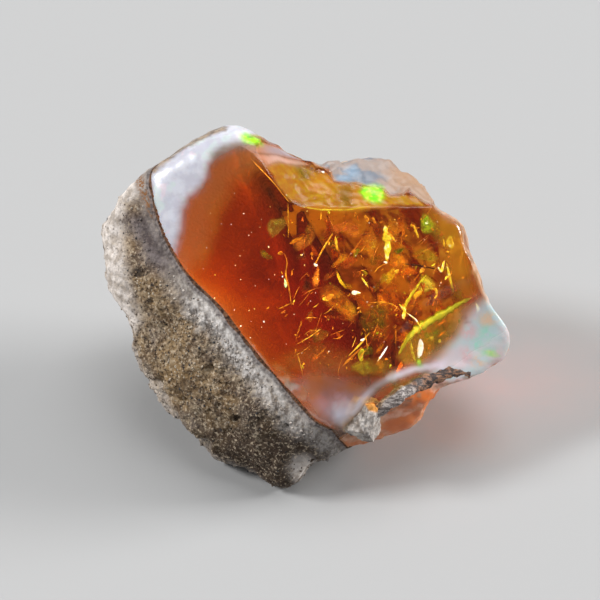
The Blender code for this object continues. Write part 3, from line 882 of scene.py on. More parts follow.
def hair_cracks(rows, sides):
    """Hair-thin curved cracks strewn under the front of the right side, most along two directions."""
    draw = np.random.default_rng(HAIR_SEED)
    starts = np.stack([draw.uniform(300.0, 450.0, HAIRS), draw.uniform(220.0, 360.0, HAIRS)], axis=1)
    turns = np.where(draw.random(HAIRS) < 0.6, 2.2, -0.5) + draw.normal(0.0, 0.35, HAIRS)
    reach = draw.uniform(7.0, 26.0, HAIRS)
    bends = draw.normal(0.0, 0.35, HAIRS)
    pieces = []
    for start, turn, length, bend in zip(starts, turns, reach, bends):
        heads = turn + bend * np.array((0.0, 0.5, 1.0))
        steps = np.stack([np.cos(heads), np.sin(heads)], axis=1) * length / 3.0
        path = np.concatenate([start[None], start + np.cumsum(steps, axis=0)])
        pieces.append(strand(path, draw.uniform(0.2, 1.6), draw.uniform(0.05, 0.11), 0.03, rows, sides))
    return np.stack(pieces), np.clip(draw.normal(0.48, 0.1, HAIRS), 0.2, 0.7)


def dust_specks():
    """Tiny pale specks under the front, strewn evenly over a box in the middle of the face."""
    draw = np.random.default_rng(DUST_SEED)
    across = draw.uniform(200.0, 440.0, DUST_SPECKS)
    down = draw.uniform(195.0, 380.0, DUST_SPECKS)
    centres = strewn(across, down, draw.uniform(0.12, 0.9, DUST_SPECKS))
    size = draw.lognormal(math.log(0.045), 0.4, DUST_SPECKS)
    normals = np.tile(np.array((0.0, 0.0, 1.0)), (DUST_SPECKS, 1))
    points = flakes(centres, normals, np.zeros(DUST_SPECKS), size, size, 0.02, 0.0, DUST_SEED + 1)
    return points, np.full(DUST_SPECKS, 0.88), np.zeros(DUST_SPECKS)


def add_many(name, points, faces, masks, material, part):
    """One piece of many copies of a small shape: its points by copy, and the faces of one copy."""
    count, size = points.shape[:2]
    quads, triangles = (many_faces(kind, count, size) for kind in faces)
    add_mesh(name, to_scene(points.reshape(-1, 3)), quads, triangles, masks, material, part)


def add_flakes(name, groups, gap, material):
    """One piece of many flakes: groups of points, tones and greens, drawn a gap inside the opal."""
    edge = np.concatenate([np.repeat(FLAKE_SHARES, FLAKE_SIDES), [0.0, 0.0]])
    points, tone, green = (np.concatenate(parts) for parts in zip(*groups))
    masks = {
        "tone": np.repeat(tone, len(edge)), "green": np.repeat(green, len(edge)),
        "edge": np.tile(edge, len(points)),
    }
    faces = sheet_faces(len(FLAKE_SHARES), FLAKE_SIDES)
    add_many(name, tucked(points, gap), faces, masks, material, "opal")


STRAND_ROWS, STRAND_SIDES, STRAND_THICKNESS = 26, 6, 0.05
GLINTS_UNDER, SHEETS_UNDER = 0.06, 0.3


def make_glints(material, sheet_material):
    """All the flashes, strands, crack faces and specks, each a thin closed shape inside the opal."""
    add_flakes(
        "fracture_flakes", [named_flakes(FLASHES, 0.03, 0.05, 141), fill_flecks(), dust_specks()],
        GLINTS_UNDER, material)
    add_flakes("crack_sheets", [named_flakes(SHEETS, 0.03, 0.03, 145), fill_veils()], SHEETS_UNDER, sheet_material)
    named = [
        strand(path, depth, width * PIXEL, STRAND_THICKNESS, STRAND_ROWS, STRAND_SIDES)
        for path, depth, width, _, _ in STRANDS]
    hairs, hair_tone = hair_cracks(STRAND_ROWS, STRAND_SIDES)
    points = np.concatenate([named, hairs])
    size = points.shape[1]
    masks = {
        "tone": np.repeat(np.concatenate([[row[3] for row in STRANDS], hair_tone]), size),
        "green": np.repeat(np.concatenate([[row[4] for row in STRANDS], np.zeros(HAIRS)]), size),
    }
    faces = sheet_faces(STRAND_ROWS, STRAND_SIDES)
    add_many("glint_strands", tucked(points, GLINTS_UNDER), faces, masks, material, "opal")


# The rock

ROCK_ROWS, ROCK_HOLLOW_ROWS, ROCK_COLUMNS = 190, 40, 400
RIM_THICKNESS = 0.08
ROCK_BITES = 0.10
TURN_SAMPLES, TILT_SAMPLES = 400, 240
END_BITES = 0.015


def rim_tilts(turns):
    """For each turn round the rock's pole, the tilt where the bowl first reaches the outside."""
    samples = np.linspace(0.02, math.pi / 2 + END_BITES, TILT_SAMPLES)
    tilts, around = np.meshgrid(samples, turns, indexing="ij")
    ways = polar_ways(-ROCK_END_NORMAL, (0.0, 0.0, 1.0), around, tilts).reshape(-1, 3)
    spare = (whole_radius(ways)[0] - bowl_radius(ways)).reshape(tilts.shape)
    gone = spare < RIM_THICKNESS
    first = np.where(gone.any(axis=0), gone.argmax(axis=0), len(samples) - 1)
    before = np.maximum(first - 1, 0)
    pick = np.arange(len(turns))
    high, low = spare[before, pick] - RIM_THICKNESS, spare[first, pick] - RIM_THICKNESS
    share = np.where(gone.any(axis=0), high / np.maximum(high - low, 1e-9), 1.0)
    return samples[before] + (samples[first] - samples[before]) * np.clip(share, 0.0, 1.0)


RIM_TURNS = np.linspace(0.0, 2.0 * math.pi, TURN_SAMPLES, endpoint=False)
RIM_TILTS = rim_tilts(RIM_TURNS)


RIM_NARROWS = 0.8
LOBE_GROOVE = ((282, 452), (300, 462), (318, 452))
PALE_LEFT = ((108, 205), (104, 240), (112, 290), (122, 320))
PALE_UPPER = ((125, 190), (155, 170), (185, 150))
RUST_LINE = ((140, 180), (146, 196), (155, 214))
# painted shade: a dark grey hollow beside the seam at the upper left
SHADED_HOLLOW = ((138, 222), (150, 242), (160, 262))
ORE_SPOTS = ((138, 272, 6), (150, 300, 3))
PALE_KNOB = ((302, 470, 15),)
AMBER_SHAPE = ((363, 402), (372, 400), (379, 404), (377, 411), (368, 409))


def pale_side(points):
    """The smooth pale side of the rock at the left and upper left of the face."""
    left = np.exp(-(near_path(points, PALE_LEFT) / 2.0) ** 4)
    upper = np.exp(-(near_path(points, PALE_UPPER) / 1.5) ** 4)
    return np.maximum(left, upper) * smooth_step(points[:, 2], -6.0, -3.0)


def rock_skin(ways):
    """The rock's outside with its grit and holes, and the distance over it to the rim by the opal."""
    pole = -ROCK_END_NORMAL
    ahead = unit(np.array((0.0, 0.0, 1.0)) - pole * pole[2])
    side = np.cross(pole, ahead)
    turn = np.arctan2(ways @ side, ways @ ahead)
    tilt = np.arccos(np.clip(ways @ pole, -1.0, 1.0))
    plain, _ = whole_radius(ways)
    to_rim = np.maximum(np.interp(turn, RIM_TURNS, RIM_TILTS, period=2.0 * math.pi) - tilt, 0.0) * plain
    points = CORE + ways * plain[:, None]
    rough = smooth_step(to_rim + 0.5 * layered_noise(points, 2.5, 75, 2), 1.2, 2.6)
    rough = rough * (1.0 - 0.6 * pale_side(points))
    lumps = layered_noise(points, 2.6, 71, 3)
    grit = layered_noise(points, 0.7, 81, 3)
    grain, _ = cell_noise(points, 0.6, 91)
    hole, chance = cell_noise(points, 1.6, 101)
    ridges = 1.0 - 2.0 * np.abs(layered_noise(points, 1.5, 77, 3))
    relief = 0.10 * lumps + (1.0 - rough) * 0.05 * grit
    relief = relief + rough * (0.17 * grit + 0.22 * (0.3 - grain) + 0.14 * ridges)
    hollow = np.exp(-(hole / (0.12 + 0.36 * chance ** 3)) ** 4)
    relief = relief - rough * 0.6 * np.where(chance > 0.55, hollow, 0.0)
    crag, crag_chance = cell_noise(points + 0.3 * lumps[:, None], 0.95, 103)
    relief = relief + rough * (0.40 * (crag_chance - 0.5) * np.exp(-(crag / 0.5) ** 4) - 0.10)
    for a, b, size in PITS:
        far = np.hypot(points[:, 0] - a, points[:, 1] - b) / size
        relief = relief - 0.8 * np.exp(-far ** 4) * (points[:, 2] > -5.0)
    relief = relief - 0.3 * ridge_along(points, LOBE_GROOVE, 0.35) * (points[:, 2] > -6.0)
    lip = smooth_step(to_rim, 0.0, 0.5)
    skin = plain + relief * lip - 0.05 * (1.0 - lip)
    return smooth_least(skin, base_radius(ways), 0.06), plain, to_rim


def make_rock(material):
    """The bowl of rock: an outer sheet from its pole to the rim, then an inner sheet back to the pole."""
    turns = crowded_turns(ROCK_COLUMNS)
    rims = rim_tilts(turns)
    outer_share = np.linspace(0.0, 1.0, ROCK_ROWS + 1)[1:]
    inner_share = np.linspace(1.0, 0.0, ROCK_HOLLOW_ROWS + 1)[:-1]
    shares = np.concatenate([outer_share, inner_share])
    tilts = shares[:, None] * rims[None, :]
    around = np.broadcast_to(turns, tilts.shape)
    ways = polar_ways(-ROCK_END_NORMAL, (0.0, 0.0, 1.0), around, tilts).reshape(-1, 3)
    ways = np.concatenate([ways, [-ROCK_END_NORMAL, -ROCK_END_NORMAL]])
    is_outer = np.repeat(np.arange(len(shares)) < ROCK_ROWS, ROCK_COLUMNS)
    is_outer = np.concatenate([is_outer, [True, False]])
    outside, plain, to_rim = rock_skin(ways)
    inside = np.minimum(bowl_radius(ways) - ROCK_BITES, plain - RIM_THICKNESS)
    radius = np.where(is_outer, outside, inside)
    points = CORE + ways * radius[:, None]
    quads, triangles = sheet_faces(len(shares), ROCK_COLUMNS)
    masks = rock_masks(points, to_rim)
    masks["inside"] = 1.0 - is_outer
    # painted shade: darkens the lining seen through the opal towards the lower right, against the lamp light that
    # reaches it there; high makes it lighter towards the upper left
    masks["painted_lining_shade"] = smooth_step(points[:, 0] - 0.7 * points[:, 1], 1.0, 9.0)
    masks["high"] = smooth_step(0.7 * points[:, 1] - points[:, 0], 5.0, 12.0)
    return add_mesh(
        "rock_bowl", to_scene(points), quads, triangles, masks, material, "host_rock")


def rock_masks(points, to_rim):
    """Where the rock's looks show: pale smooth rim, painted shadow and dark line at the seam, rust, pale side,
    painted shade at the dark foot and in the grey hollow.
    """
    wave = layered_noise(points, 2.5, 75, 2)
    front = smooth_step(points[:, 2], -6.0, -3.0)
    band = to_rim + 0.8 * wave + RIM_NARROWS * smooth_step(points[:, 1], -6.0, 3.0)
    return {
        "rim": 1.0 - smooth_step(band, 2.2, 4.6),
        "pale": smooth_step(points[:, 0] - points[:, 1] + wave, -16.0, -8.0),
        # painted shadow: a grey-mauve band beside the seam, with the seam's own dark line at its inner edge
        "seam_shadow_and_line": 1.0 - smooth_step(to_rim + 0.2 * wave, 0.1, 1.1),
        "rust": ridge_along(points, RUST_LINE, 0.5) * front,
        "side": np.maximum(pale_side(points), 0.6 * (1.0 - front)),
        # painted shade: low darkens the rock towards the lower right, the side away from the key lamp
        "low": smooth_step(-0.8 * points[:, 1] + 0.25 * points[:, 0] + 1.2 * wave, 3.5, 12.5),
        # painted shade in the hollow beside the seam
        "grey": ridge_along(points, SHADED_HOLLOW, 1.7) * front,
        "ore": spots(points + 0.2 * wave[:, None], ORE_SPOTS) * front,
        "knob": spots(points, PALE_KNOB) * front,
        "amber": np.zeros(len(points)),
    }


LUMP_CUTS = 14


def ball_ways(rows, columns):
    """Directions over a ball: rows down from its top, columns round it, then its top and its bottom."""
    tilts = np.linspace(0.0, math.pi, rows + 2)[1:-1]
    turns = np.linspace(0.0, 2.0 * math.pi, columns, endpoint=False)
    around, over = np.meshgrid(turns, tilts)
    ways = np.stack([np.cos(around) * np.sin(over), np.sin(around) * np.sin(over), np.cos(over)], axis=-1)
    return np.concatenate([ways.reshape(-1, 3), [(0.0, 0.0, 1.0), (0.0, 0.0, -1.0)]])


def lump_points(centre, radius, rows, columns, seed, stretch):
    """An angular closed lump: a ball cut back by flats set round it, stretched and made uneven by noise."""
    draw = np.random.default_rng(seed)
    ways = ball_ways(rows, columns)
    far = np.full(len(ways), 1.0)
    for _ in range(LUMP_CUTS):
        flat = unit(draw.normal(size=3))
        far = smooth_least(far, draw.uniform(0.68, 0.86) / np.maximum(ways @ flat, 1e-3), 0.03)
    far = radius * (far + 0.05 * layered_noise(ways * 2.0, 0.5, seed, 4))
    return np.asarray(centre) + ways * far[:, None] * np.array(stretch)


VEIN_ROWS, VEIN_SIDES, VEIN_SMOOTHING = 260, 36, 40
VEIN_SHARES = (0.0, 0.06, 0.14, 0.24, 0.34, 0.48, 0.62, 0.78, 0.9, 1.0)
VEIN_WIDTHS = (0.4, 0.9, 1.0, 0.9, 0.8, 0.8, 0.85, 0.8, 0.65, 0.35)
VEIN_FLATNESS = 0.38
VEIN_RUN = np.array(((0.95, 0.31, 0.0), (-0.31, 0.95, 0.0), (0.0, 0.0, 1.0)))


LOBE_CENTRE, LOBE_RADIUS, LOBE_STRETCH = (6.8, -12.7, 0.5), 2.9, (0.82, 1.12, 1.0)
LOBE_ROWS, LOBE_COLUMNS, LOBE_SEED = 120, 150, 163


def make_lobe(material, vein_material):
    """The lobe of rock that runs under the opal at its foot, and the vein of rock along the lip's edge."""
    points = lump_points(LOBE_CENTRE, LOBE_RADIUS, LOBE_ROWS, LOBE_COLUMNS, LOBE_SEED, LOBE_STRETCH)
    low = (points @ LYING[2]) - REST_POINT[2]
    points = points + LYING[2] * np.maximum(0.02 - low, 0.0)[:, None]
    quads, triangles = sheet_faces(LOBE_ROWS, LOBE_COLUMNS)
    masks = rock_masks(points, np.full(len(points), 1.9))
    masks["inside"] = np.zeros(len(points))
    masks["painted_lining_shade"] = masks["high"] = np.zeros(len(points))
    # the lobe takes most of the painted foot shade
    masks["low"] = np.full(len(points), 0.62)
    masks["amber"] = in_shape(points, AMBER_SHAPE, 0.15) * (points[:, 2] > 0.0)
    add_mesh("rock_lobe", to_scene(points), quads, triangles, masks, material, "host_rock")

    middle, share = smooth_path(MATRIX_VEIN, VEIN_ROWS + 2, VEIN_SMOOTHING)
    height = front_height(middle[:, 0], middle[:, 1])
    centre = np.concatenate([middle, height[:, None] - 0.10], axis=1)
    heading = np.gradient(centre, axis=0)
    heading = heading / np.linalg.norm(heading, axis=1)[:, None]
    sideways = np.cross(np.array((0.0, 0.0, 1.0)), heading)
    upward = np.cross(heading, sideways)
    width = np.interp(share, VEIN_SHARES, VEIN_WIDTHS)
    around = np.linspace(0.0, 2.0 * math.pi, VEIN_SIDES, endpoint=False)
    across, over = np.cos(around)[None, :, None], VEIN_FLATNESS * np.sin(around)[None, :, None]
    ways = across * sideways[:, None] + over * upward[:, None]
    points = (centre[:, None] + width[:, None, None] * ways)[1:-1].reshape(-1, 3)
    ways = ways[1:-1].reshape(-1, 3)
    crags = 0.34 * layered_noise(points @ VEIN_RUN.T * np.array((0.4, 1.8, 1.8)), 1.0, 165, 4)
    points = points + ways * (np.repeat(width[1:-1], VEIN_SIDES) * crags)[:, None]
    points = np.concatenate([points, centre[[0]], centre[[-1]]])
    quads, triangles = sheet_faces(VEIN_ROWS, VEIN_SIDES)
    along = np.concatenate([np.repeat(share[1:-1], VEIN_SIDES), [0.0, 1.0]])
    masks = {"brown": smooth_step(along + 0.08 * layered_noise(points, 1.0, 167, 2), 0.5, 0.66)}
    add_mesh("matrix_vein", to_scene(points), quads, triangles, masks, vein_material, "host_rock")


GRAINS, GRAIN_SEED, GRAIN_ROWS, GRAIN_SIDES = 4800, 171, 3, 6


def make_grains(material):
    """Sand grains and dark crystals, half sunk in the rock's outside away from its smooth rim."""
    draw = np.random.default_rng(GRAIN_SEED)
    ways = draw.normal(size=(GRAINS * 4, 3))
    ways = ways / np.linalg.norm(ways, axis=1)[:, None]
    radius, _, to_rim = rock_skin(ways)
    points = CORE + ways * radius[:, None]
    high = points @ LYING[2] - REST_POINT[2]
    front = points[:, 2] > -9.0
    fit = (to_rim > draw.uniform(0.9, 2.6, len(ways))) & (high > 0.5)
    fit = fit & (front | (draw.random(len(ways)) < 0.35))
    fit = fit & (draw.random(len(ways)) > 0.9 * pale_side(points))
    ways, radius, to_rim = ways[fit][:GRAINS], radius[fit][:GRAINS], to_rim[fit][:GRAINS]
    count = len(ways)
    size = np.minimum(draw.lognormal(math.log(0.105), 0.45, count), 0.19)
    dark = (draw.random(count) < 0.10).astype(float)
    size = size * (1.0 - 0.25 * dark)
    shape = ball_ways(GRAIN_ROWS, GRAIN_SIDES)
    turn = draw.normal(size=(count, 3, 3))
    turn, _ = np.linalg.qr(turn)
    turn = turn * np.sign(np.linalg.det(turn))[:, None, None]
    stretch = draw.uniform(0.65, 1.3, (count, 1, 3))
    uneven = draw.uniform(0.85, 1.1, (count, len(shape), 1))
    local = np.einsum("nij,npj->npi", turn, shape[None] * stretch * uneven)
    centre = CORE + ways * (radius - 0.25 * size)[:, None]
    points = centre[:, None] + local * size[:, None, None]
    each = len(shape)
    zones = rock_masks(CORE + ways * radius[:, None], to_rim)
    masks = {
        "dark": np.repeat(dark, each), "shade": np.repeat(draw.random(count), each),
        # the grains take the rock's painted shade: the foot's low mask and the hollow's grey mask
        "low": np.repeat(zones["low"], each), "grey": np.repeat(zones["grey"], each),
        "pale": np.repeat(np.maximum(zones["rim"], zones["side"]), each),
    }
    add_many("sand_grains", points, sheet_faces(GRAIN_ROWS, GRAIN_SIDES), masks, material, "host_rock")


# Materials

class Flow:
    """A shader socket, or a number, that adds Math nodes when it is used in an expression."""

    def __init__(self, tree, socket):
        self.tree = tree
        self.socket = socket

    def maths(self, operation, *values, clamp=False):
        settings = {"operation": operation, "use_clamp": clamp}
        return self.tree.add("ShaderNodeMath", settings, dict(enumerate(values)))

    def __add__(self, other):
        return self.maths("ADD", self, other)

    __radd__ = __add__

    def __sub__(self, other):
        return self.maths("SUBTRACT", self, other)

    def __rsub__(self, other):
        return self.maths("SUBTRACT", other, self)

    def __mul__(self, other):
        return self.maths("MULTIPLY", self, other)

    __rmul__ = __mul__

    def most(self, other):
        return self.maths("MAXIMUM", self, other)

    def held(self):
        """Kept between 0 and 1."""
        return self.maths("ADD", self, 0.0, clamp=True)

    def between(self, low, high):
        """0 below low, 1 above high and an S-curve between."""
        settings = {"interpolation_type": "SMOOTHSTEP"}
        return self.tree.add("ShaderNodeMapRange", settings, {0: self, 1: low, 2: high, 3: 0.0, 4: 1.0})


class Tree:
    """A material's node tree, with one method that adds any node."""

    def __init__(self, name):
        self.material = bpy.data.materials.new(name)
        self.material.use_nodes = True
        self.nodes = self.material.node_tree.nodes
        self.links = self.material.node_tree.links
        self.nodes.clear()

    def add(self, kind, settings=None, values=None, output=0):
        """A node of a kind: its settings first, then the values or links of its sockets."""
        node = self.nodes.new(kind)
        for name, value in (settings or {}).items():
            setattr(node, name, value)
        for key, value in (values or {}).items():
            if isinstance(value, Flow):
                self.links.new(value.socket, node.inputs[key])
            else:
                node.inputs[key].default_value = value
        return Flow(self, node.outputs[output])

    def mask(self, name):
        """A named mask of the piece."""
        return self.add("ShaderNodeAttribute", {"attribute_name": name}, output="Fac")

    def place(self):
        """Object coordinates."""
        return self.add("ShaderNodeTexCoord", output="Object")

    def noise(self, size, detail=3.0, roughness=0.55, twist=0.0):
        """Noise over the piece with features of a size in millimetres."""
        return self.add("ShaderNodeTexNoise", {}, {
            "Vector": self.place(), "Scale": 1.0 / (size * MM), "Detail": detail,
            "Roughness": roughness, "Distortion": twist})

    def streaks(self, size, turn, stretch, detail, roughness):
        """Noise drawn out one way: its coordinates are turned about the upright, then scaled."""
        mapped = self.add("ShaderNodeMapping", {}, {
            "Vector": self.place(), "Rotation": (0.0, 0.0, math.radians(turn)), "Scale": stretch})
        return self.add("ShaderNodeTexNoise", {}, {
            "Vector": mapped, "Scale": 1.0 / (size * MM), "Detail": detail, "Roughness": roughness})

    def cells(self, size):
        """Distance to the nearest of scattered spots, which lie a size in millimetres apart."""
        return self.add("ShaderNodeTexVoronoi", {"feature": "F1"}, {
            "Vector": self.place(), "Scale": 1.0 / (size * MM)}, output="Distance")

    def mix(self, share, first, second):
        """A colour between two colours."""
        def colour(value):
            return value if isinstance(value, Flow) else (*value, 1.0)
        return self.add("ShaderNodeMix", {"data_type": "RGBA"}, {
            0: share, 6: colour(first), 7: colour(second)}, output=2)

    def lay(self, colour, *looks):
        """A colour with looks laid over it in turn: each a mask's name, its strength and its tint."""
        for mask, strength, tint in looks:
            colour = self.mix(self.mask(mask) * strength, colour, tint)
        return colour

    def bump(self, height, depth, strength):
        """A bump of a depth in millimetres."""
        values = {"Strength": strength, "Distance": depth * MM, "Height": height}
        return self.add("ShaderNodeBump", {}, values)

    def principled(self, **values):
        """A Principled shader; socket names are written with underscores."""
        return self.add("ShaderNodeBsdfPrincipled", {}, {
            key.replace("_", " "): value for key, value in values.items()})

    def finish(self, surface, volume=None):
        """Connect the surface, and the volume where there is one, to the output."""
        node = self.nodes.new("ShaderNodeOutputMaterial")
        self.links.new(surface.socket, node.inputs["Surface"])
        if volume:
            self.links.new(volume.socket, node.inputs["Volume"])
        return self.material


MILK, MILK_SHADE = (0.64, 0.65, 0.71), (0.53, 0.53, 0.60)
MILK_GREEN, MILK_ROSE = (0.55, 0.72, 0.62), (0.80, 0.58, 0.64)
OLIVE_GREY, ROSE_GREY = (0.19, 0.17, 0.12), (0.36, 0.22, 0.15)
LAVENDER = (0.46, 0.33, 0.33)
AMBER, GOLDEN = (0.72, 0.22, 0.02), (0.85, 0.42, 0.02)
CRUSTY_DARK, CRUSTY_PALE = (0.44, 0.32, 0.22), (0.60, 0.50, 0.40)
RIND_ORANGE, RIND_PALE = (0.54, 0.18, 0.035), (0.60, 0.30, 0.12)
UNDER_ORANGE, UNDER_PINK, UNDER_PALE = (0.62, 0.17, 0.03), (0.52, 0.21, 0.08), (0.68, 0.38, 0.25)
FLASH_DEEP, FLASH_GREEN, FLASH_LIME = (0.16, 0.66, 0.01), (0.36, 0.85, 0.02), (0.55, 0.88, 0.07)
ABSORPTION_TINT, ABSORPTION_DENSITY = (0.985, 0.755, 0.03), 300.0
OPAL_IOR = 1.45
# How milky the opal is in each of its looks
MILKINESS = (
    ("crust", 0.92), ("lip", 0.85), ("band", 0.8), ("under", 0.8), ("vivid", 0.9), ("olive", 0.5),
    ("mint", 0.7), ("film", 1.0), ("frost", 0.8), ("rose", 0.6), ("peach", 0.7), ("zone", 0.35),
    ("specks", 1.0), ("gold", 0.5), ("yellow", 0.5), ("lavender", 0.5), ("blush", 0.8), ("mauve", 0.9),
    ("haze", 0.42),
)


def opal_colour(t):
    """The colour of the opal's milky share, look over look; light passes straight through the rest."""
    haze, fine, cloud = t.noise(4.0, 4.0), t.noise(0.8, 3.0), t.noise(1.5, 4.0)
    crusty = t.mix(fine.between(0.4, 0.6), CRUSTY_DARK, CRUSTY_PALE)
    rind = t.mix(fine.between(0.4, 0.6), RIND_ORANGE, RIND_PALE)
    rind = t.mix(t.noise(2.6, 5.0).between(0.47, 0.60), rind, crusty)
    pink = t.mix(fine.between(0.42, 0.60), UNDER_PINK, UNDER_PALE)
    colour = t.lay(
        t.mix(haze.between(0.35, 0.7), AMBER, GOLDEN),
        ("skin", 1.0, rind),
        # partly painted light: the notch's milky gold stands in for light shining through the thin opal
        ("yellow", 1.0, t.mix(fine.between(0.35, 0.65), (0.52, 0.21, 0.002), (0.58, 0.32, 0.004))),
        ("zone", 1.0, (0.60, 0.33, 0.02)),
        ("gold", 1.0, (0.56, 0.22, 0.005)),
        ("under", 1.0, t.mix(t.noise(2.2, 3.0).between(0.42, 0.58), UNDER_ORANGE, pink)),
        ("lip", 1.0, t.mix(t.noise(3.2, 2.0).between(0.36, 0.64), (0.46, 0.62, 0.64), (0.60, 0.57, 0.60))),
        ("lavender", 1.0, t.mix(haze.between(0.4, 0.6), (0.72, 0.42, 0.20), (0.58, 0.46, 0.50))),
        ("band", 1.0, (0.74, 0.70, 0.78)),
        ("blush", 1.0, (0.62, 0.38, 0.30)),
        ("mauve", 1.0, (0.34, 0.27, 0.28)),
        ("frost", 1.0, (0.60, 0.38, 0.24)),
        ("haze", 1.0, (0.50, 0.16, 0.035)),
        ("crust", 1.0, t.mix(t.noise(2.2, 4.0).between(0.42, 0.58), (0.19, 0.22, 0.26), (0.34, 0.28, 0.25))),
        ("tan", 1.0, (0.42, 0.25, 0.14)),
    )
    potch = t.mask("potch")
    colour = t.mix(potch.between(0.0, 0.7), colour, t.mix(cloud.between(0.4, 0.6), ROSE_GREY, LAVENDER))
    milk = t.mix(cloud.between(0.38, 0.62), MILK_SHADE, MILK)
    milk = t.mix(t.noise(2.1, 2.0).between(0.56, 0.66) * 0.35, milk, MILK_GREEN)
    milk = t.mix(t.noise(1.8, 2.0, twist=0.5).between(0.58, 0.68) * 0.35, milk, MILK_ROSE)
    colour = t.mix(potch.between(0.35, 1.0), colour, milk)
    play = t.noise(0.7, 3.0).between(0.35, 0.55)
    flash = t.mix(fine.between(0.38, 0.6), FLASH_DEEP, FLASH_GREEN)
    flash = t.mix(t.noise(0.5, 2.0).between(0.5, 0.66), flash, FLASH_LIME)
    return t.lay(
        colour,
        ("dull", 0.8, OLIVE_GREY),
        ("rose", play * 0.7, (0.66, 0.42, 0.44)),
        ("peach", play * 0.8, (0.75, 0.52, 0.32)),
        ("mint", play * 0.8, (0.28, 0.66, 0.54)),
        ("blue", 0.55, (0.24, 0.37, 0.50)),
        ("olive", 0.8, (0.14, 0.12, 0.004)),
        ("vivid", 1.0, flash),
        ("specks", 1.0, (0.08, 0.035, 0.02)),
        ("film", 1.0, t.mix(fine.between(0.4, 0.6), (0.12, 0.07, 0.035), (0.36, 0.26, 0.17))),
    )


def opal_material():
    """Clear orange glass that takes up blue and green light, mixed with milky opal by the masks."""
    t = Tree("precious_opal")
    potch, skin = t.mask("potch"), t.mask("skin")
    rind_milk = skin * (t.noise(2.6, 5.0).between(0.44, 0.60) * 0.52 + 0.26)
    milk = (potch * 0.97).most(rind_milk)
    for mask, share in MILKINESS:
        milk = milk.most(t.mask(mask) * share)
    milk = milk.held()
    roughness = 0.05 + skin * 0.35
    for mask, share in (("crust", 0.25), ("under", 0.3), ("film", 0.3), ("yellow", 0.2)):
        roughness = roughness + t.mask(mask) * share
    glass = t.principled(
        Base_Color=(1.0, 0.95, 0.86, 1.0), Roughness=roughness.held(), IOR=OPAL_IOR,
        Transmission_Weight=1.0)
    milky = t.principled(
        Base_Color=opal_colour(t), Roughness=0.28 + (skin * (1.0 - potch)) * 0.3, IOR=OPAL_IOR,
        Normal=t.bump(t.noise(0.35, 3.0), 0.04, 0.25),
        Subsurface_Weight=0.3, Subsurface_Radius=(1.0, 0.7, 0.5), Subsurface_Scale=0.0010)
    surface = t.add("ShaderNodeMixShader", {}, {0: milk, 1: glass, 2: milky})
    lamp_ray = t.add("ShaderNodeLightPath", output="Is Shadow Ray")
    open_way = t.add("ShaderNodeBsdfTransparent", {}, {"Color": (0.92, 0.88, 0.80, 1.0)})
    surface = t.add("ShaderNodeMixShader", {}, {0: lamp_ray * (1.0 - milk), 1: surface, 2: open_way})
    volume = t.add("ShaderNodeVolumeAbsorption", {}, {
        "Color": (*ABSORPTION_TINT, 1.0), "Density": ABSORPTION_DENSITY})
    return t.finish(surface, volume)


def tone_colour(t, shift):
    """The colour of a flash by its tone, shifted by a noise, and by its share of green: dark tones are painted
    shade in the cracks, light tones painted glints.
    """
    tone = t.mask("tone") + shift
    colour = t.mix(tone.between(0.0, 0.3), (0.05, 0.008, 0.002), (0.42, 0.085, 0.006))
    colour = t.mix(tone.between(0.3, 0.6), colour, (0.90, 0.36, 0.02))
    colour = t.mix(tone.between(0.55, 0.8), colour, (1.0, 0.74, 0.06))
    colour = t.mix(tone.between(0.8, 0.97), colour, (0.94, 0.97, 1.0))
    return t.lay(colour, ("green", 0.75, (0.30, 0.85, 0.02))), tone


def glint_material():
    """Bright mirror-like crack faces, from red-brown to white, uneven along their length; the lighter ones emit, a
    painted shine that makes them look lit.
    """
    t = Tree("fracture_glint")
    colour, tone = tone_colour(t, (t.noise(0.45, 3.0) - 0.5) * 0.7)
    # painted light: the lighter tones emit, so the crack faces shine without a lamp lighting them
    painted_glow = t.mix(tone.between(0.45, 1.0), (0.0, 0.0, 0.0), colour)
    return t.finish(t.principled(
        Base_Color=colour, Metallic=0.5, Roughness=0.25, Emission_Color=painted_glow, Emission_Strength=0.8))


def sheet_material():
    """Old cracks seen through the opal: dim, smooth, uneven and a little glossy, fading at their edges."""
    t = Tree("crack_sheet")
    colour, _ = tone_colour(t, (t.noise(0.9, 4.0) - 0.5) * 0.6)
    edge = t.mask("edge")
    open_share = (t.noise(0.8, 4.0).between(0.36, 0.62) * 0.6 + 0.2).most(edge.between(0.1, 0.92))
    solid = t.principled(Base_Color=colour, Metallic=0.3, Roughness=0.3)
    clear = t.add("ShaderNodeBsdfTransparent", {}, {"Color": (1.0, 1.0, 1.0, 1.0)})
    return t.finish(t.add("ShaderNodeMixShader", {}, {0: open_share, 1: solid, 2: clear}))


TAN_SAND, GREY_SAND, PALE_SAND = (0.27, 0.175, 0.085), (0.21, 0.165, 0.13), (0.36, 0.27, 0.17)
# FOOT_SHADE paints shade at the lower right; BROWN_SHADE is the rock's own random brown patches
BROWN_SHADE, FOOT_SHADE = (0.085, 0.050, 0.026), (0.040, 0.025, 0.017)
SIDE_DULL, SIDE_PALE = (0.46, 0.40, 0.35), (0.84, 0.77, 0.72)
RIM_SHADE, RIM_PALE = (0.24, 0.215, 0.20), (0.74, 0.70, 0.67)
RIM_DARK, RIM_GREY = (0.17, 0.145, 0.13), (0.34, 0.30, 0.27)
# painted shade colours for the hollow beside the seam
HOLLOW_SHADE_DARK, HOLLOW_SHADE_GREY = (0.062, 0.046, 0.050), (0.17, 0.14, 0.14)
GRIT_PALE, GRIT_DARK, ORE_BLACK = (0.58, 0.47, 0.34), (0.045, 0.028, 0.019), (0.022, 0.022, 0.026)
# the first two colours paint the shadow beside the seam; the last two are the seam's own dark line
SEAM_SHADOW_MAUVE, SEAM_SHADOW_GREY = (0.075, 0.060, 0.060), (0.24, 0.205, 0.195)
SEAM_DARK, SEAM_BROWN = (0.035, 0.016, 0.010), (0.16, 0.08, 0.045)
LINING_RED, LINING_ORANGE = (0.22, 0.055, 0.012), (0.30, 0.085, 0.018)


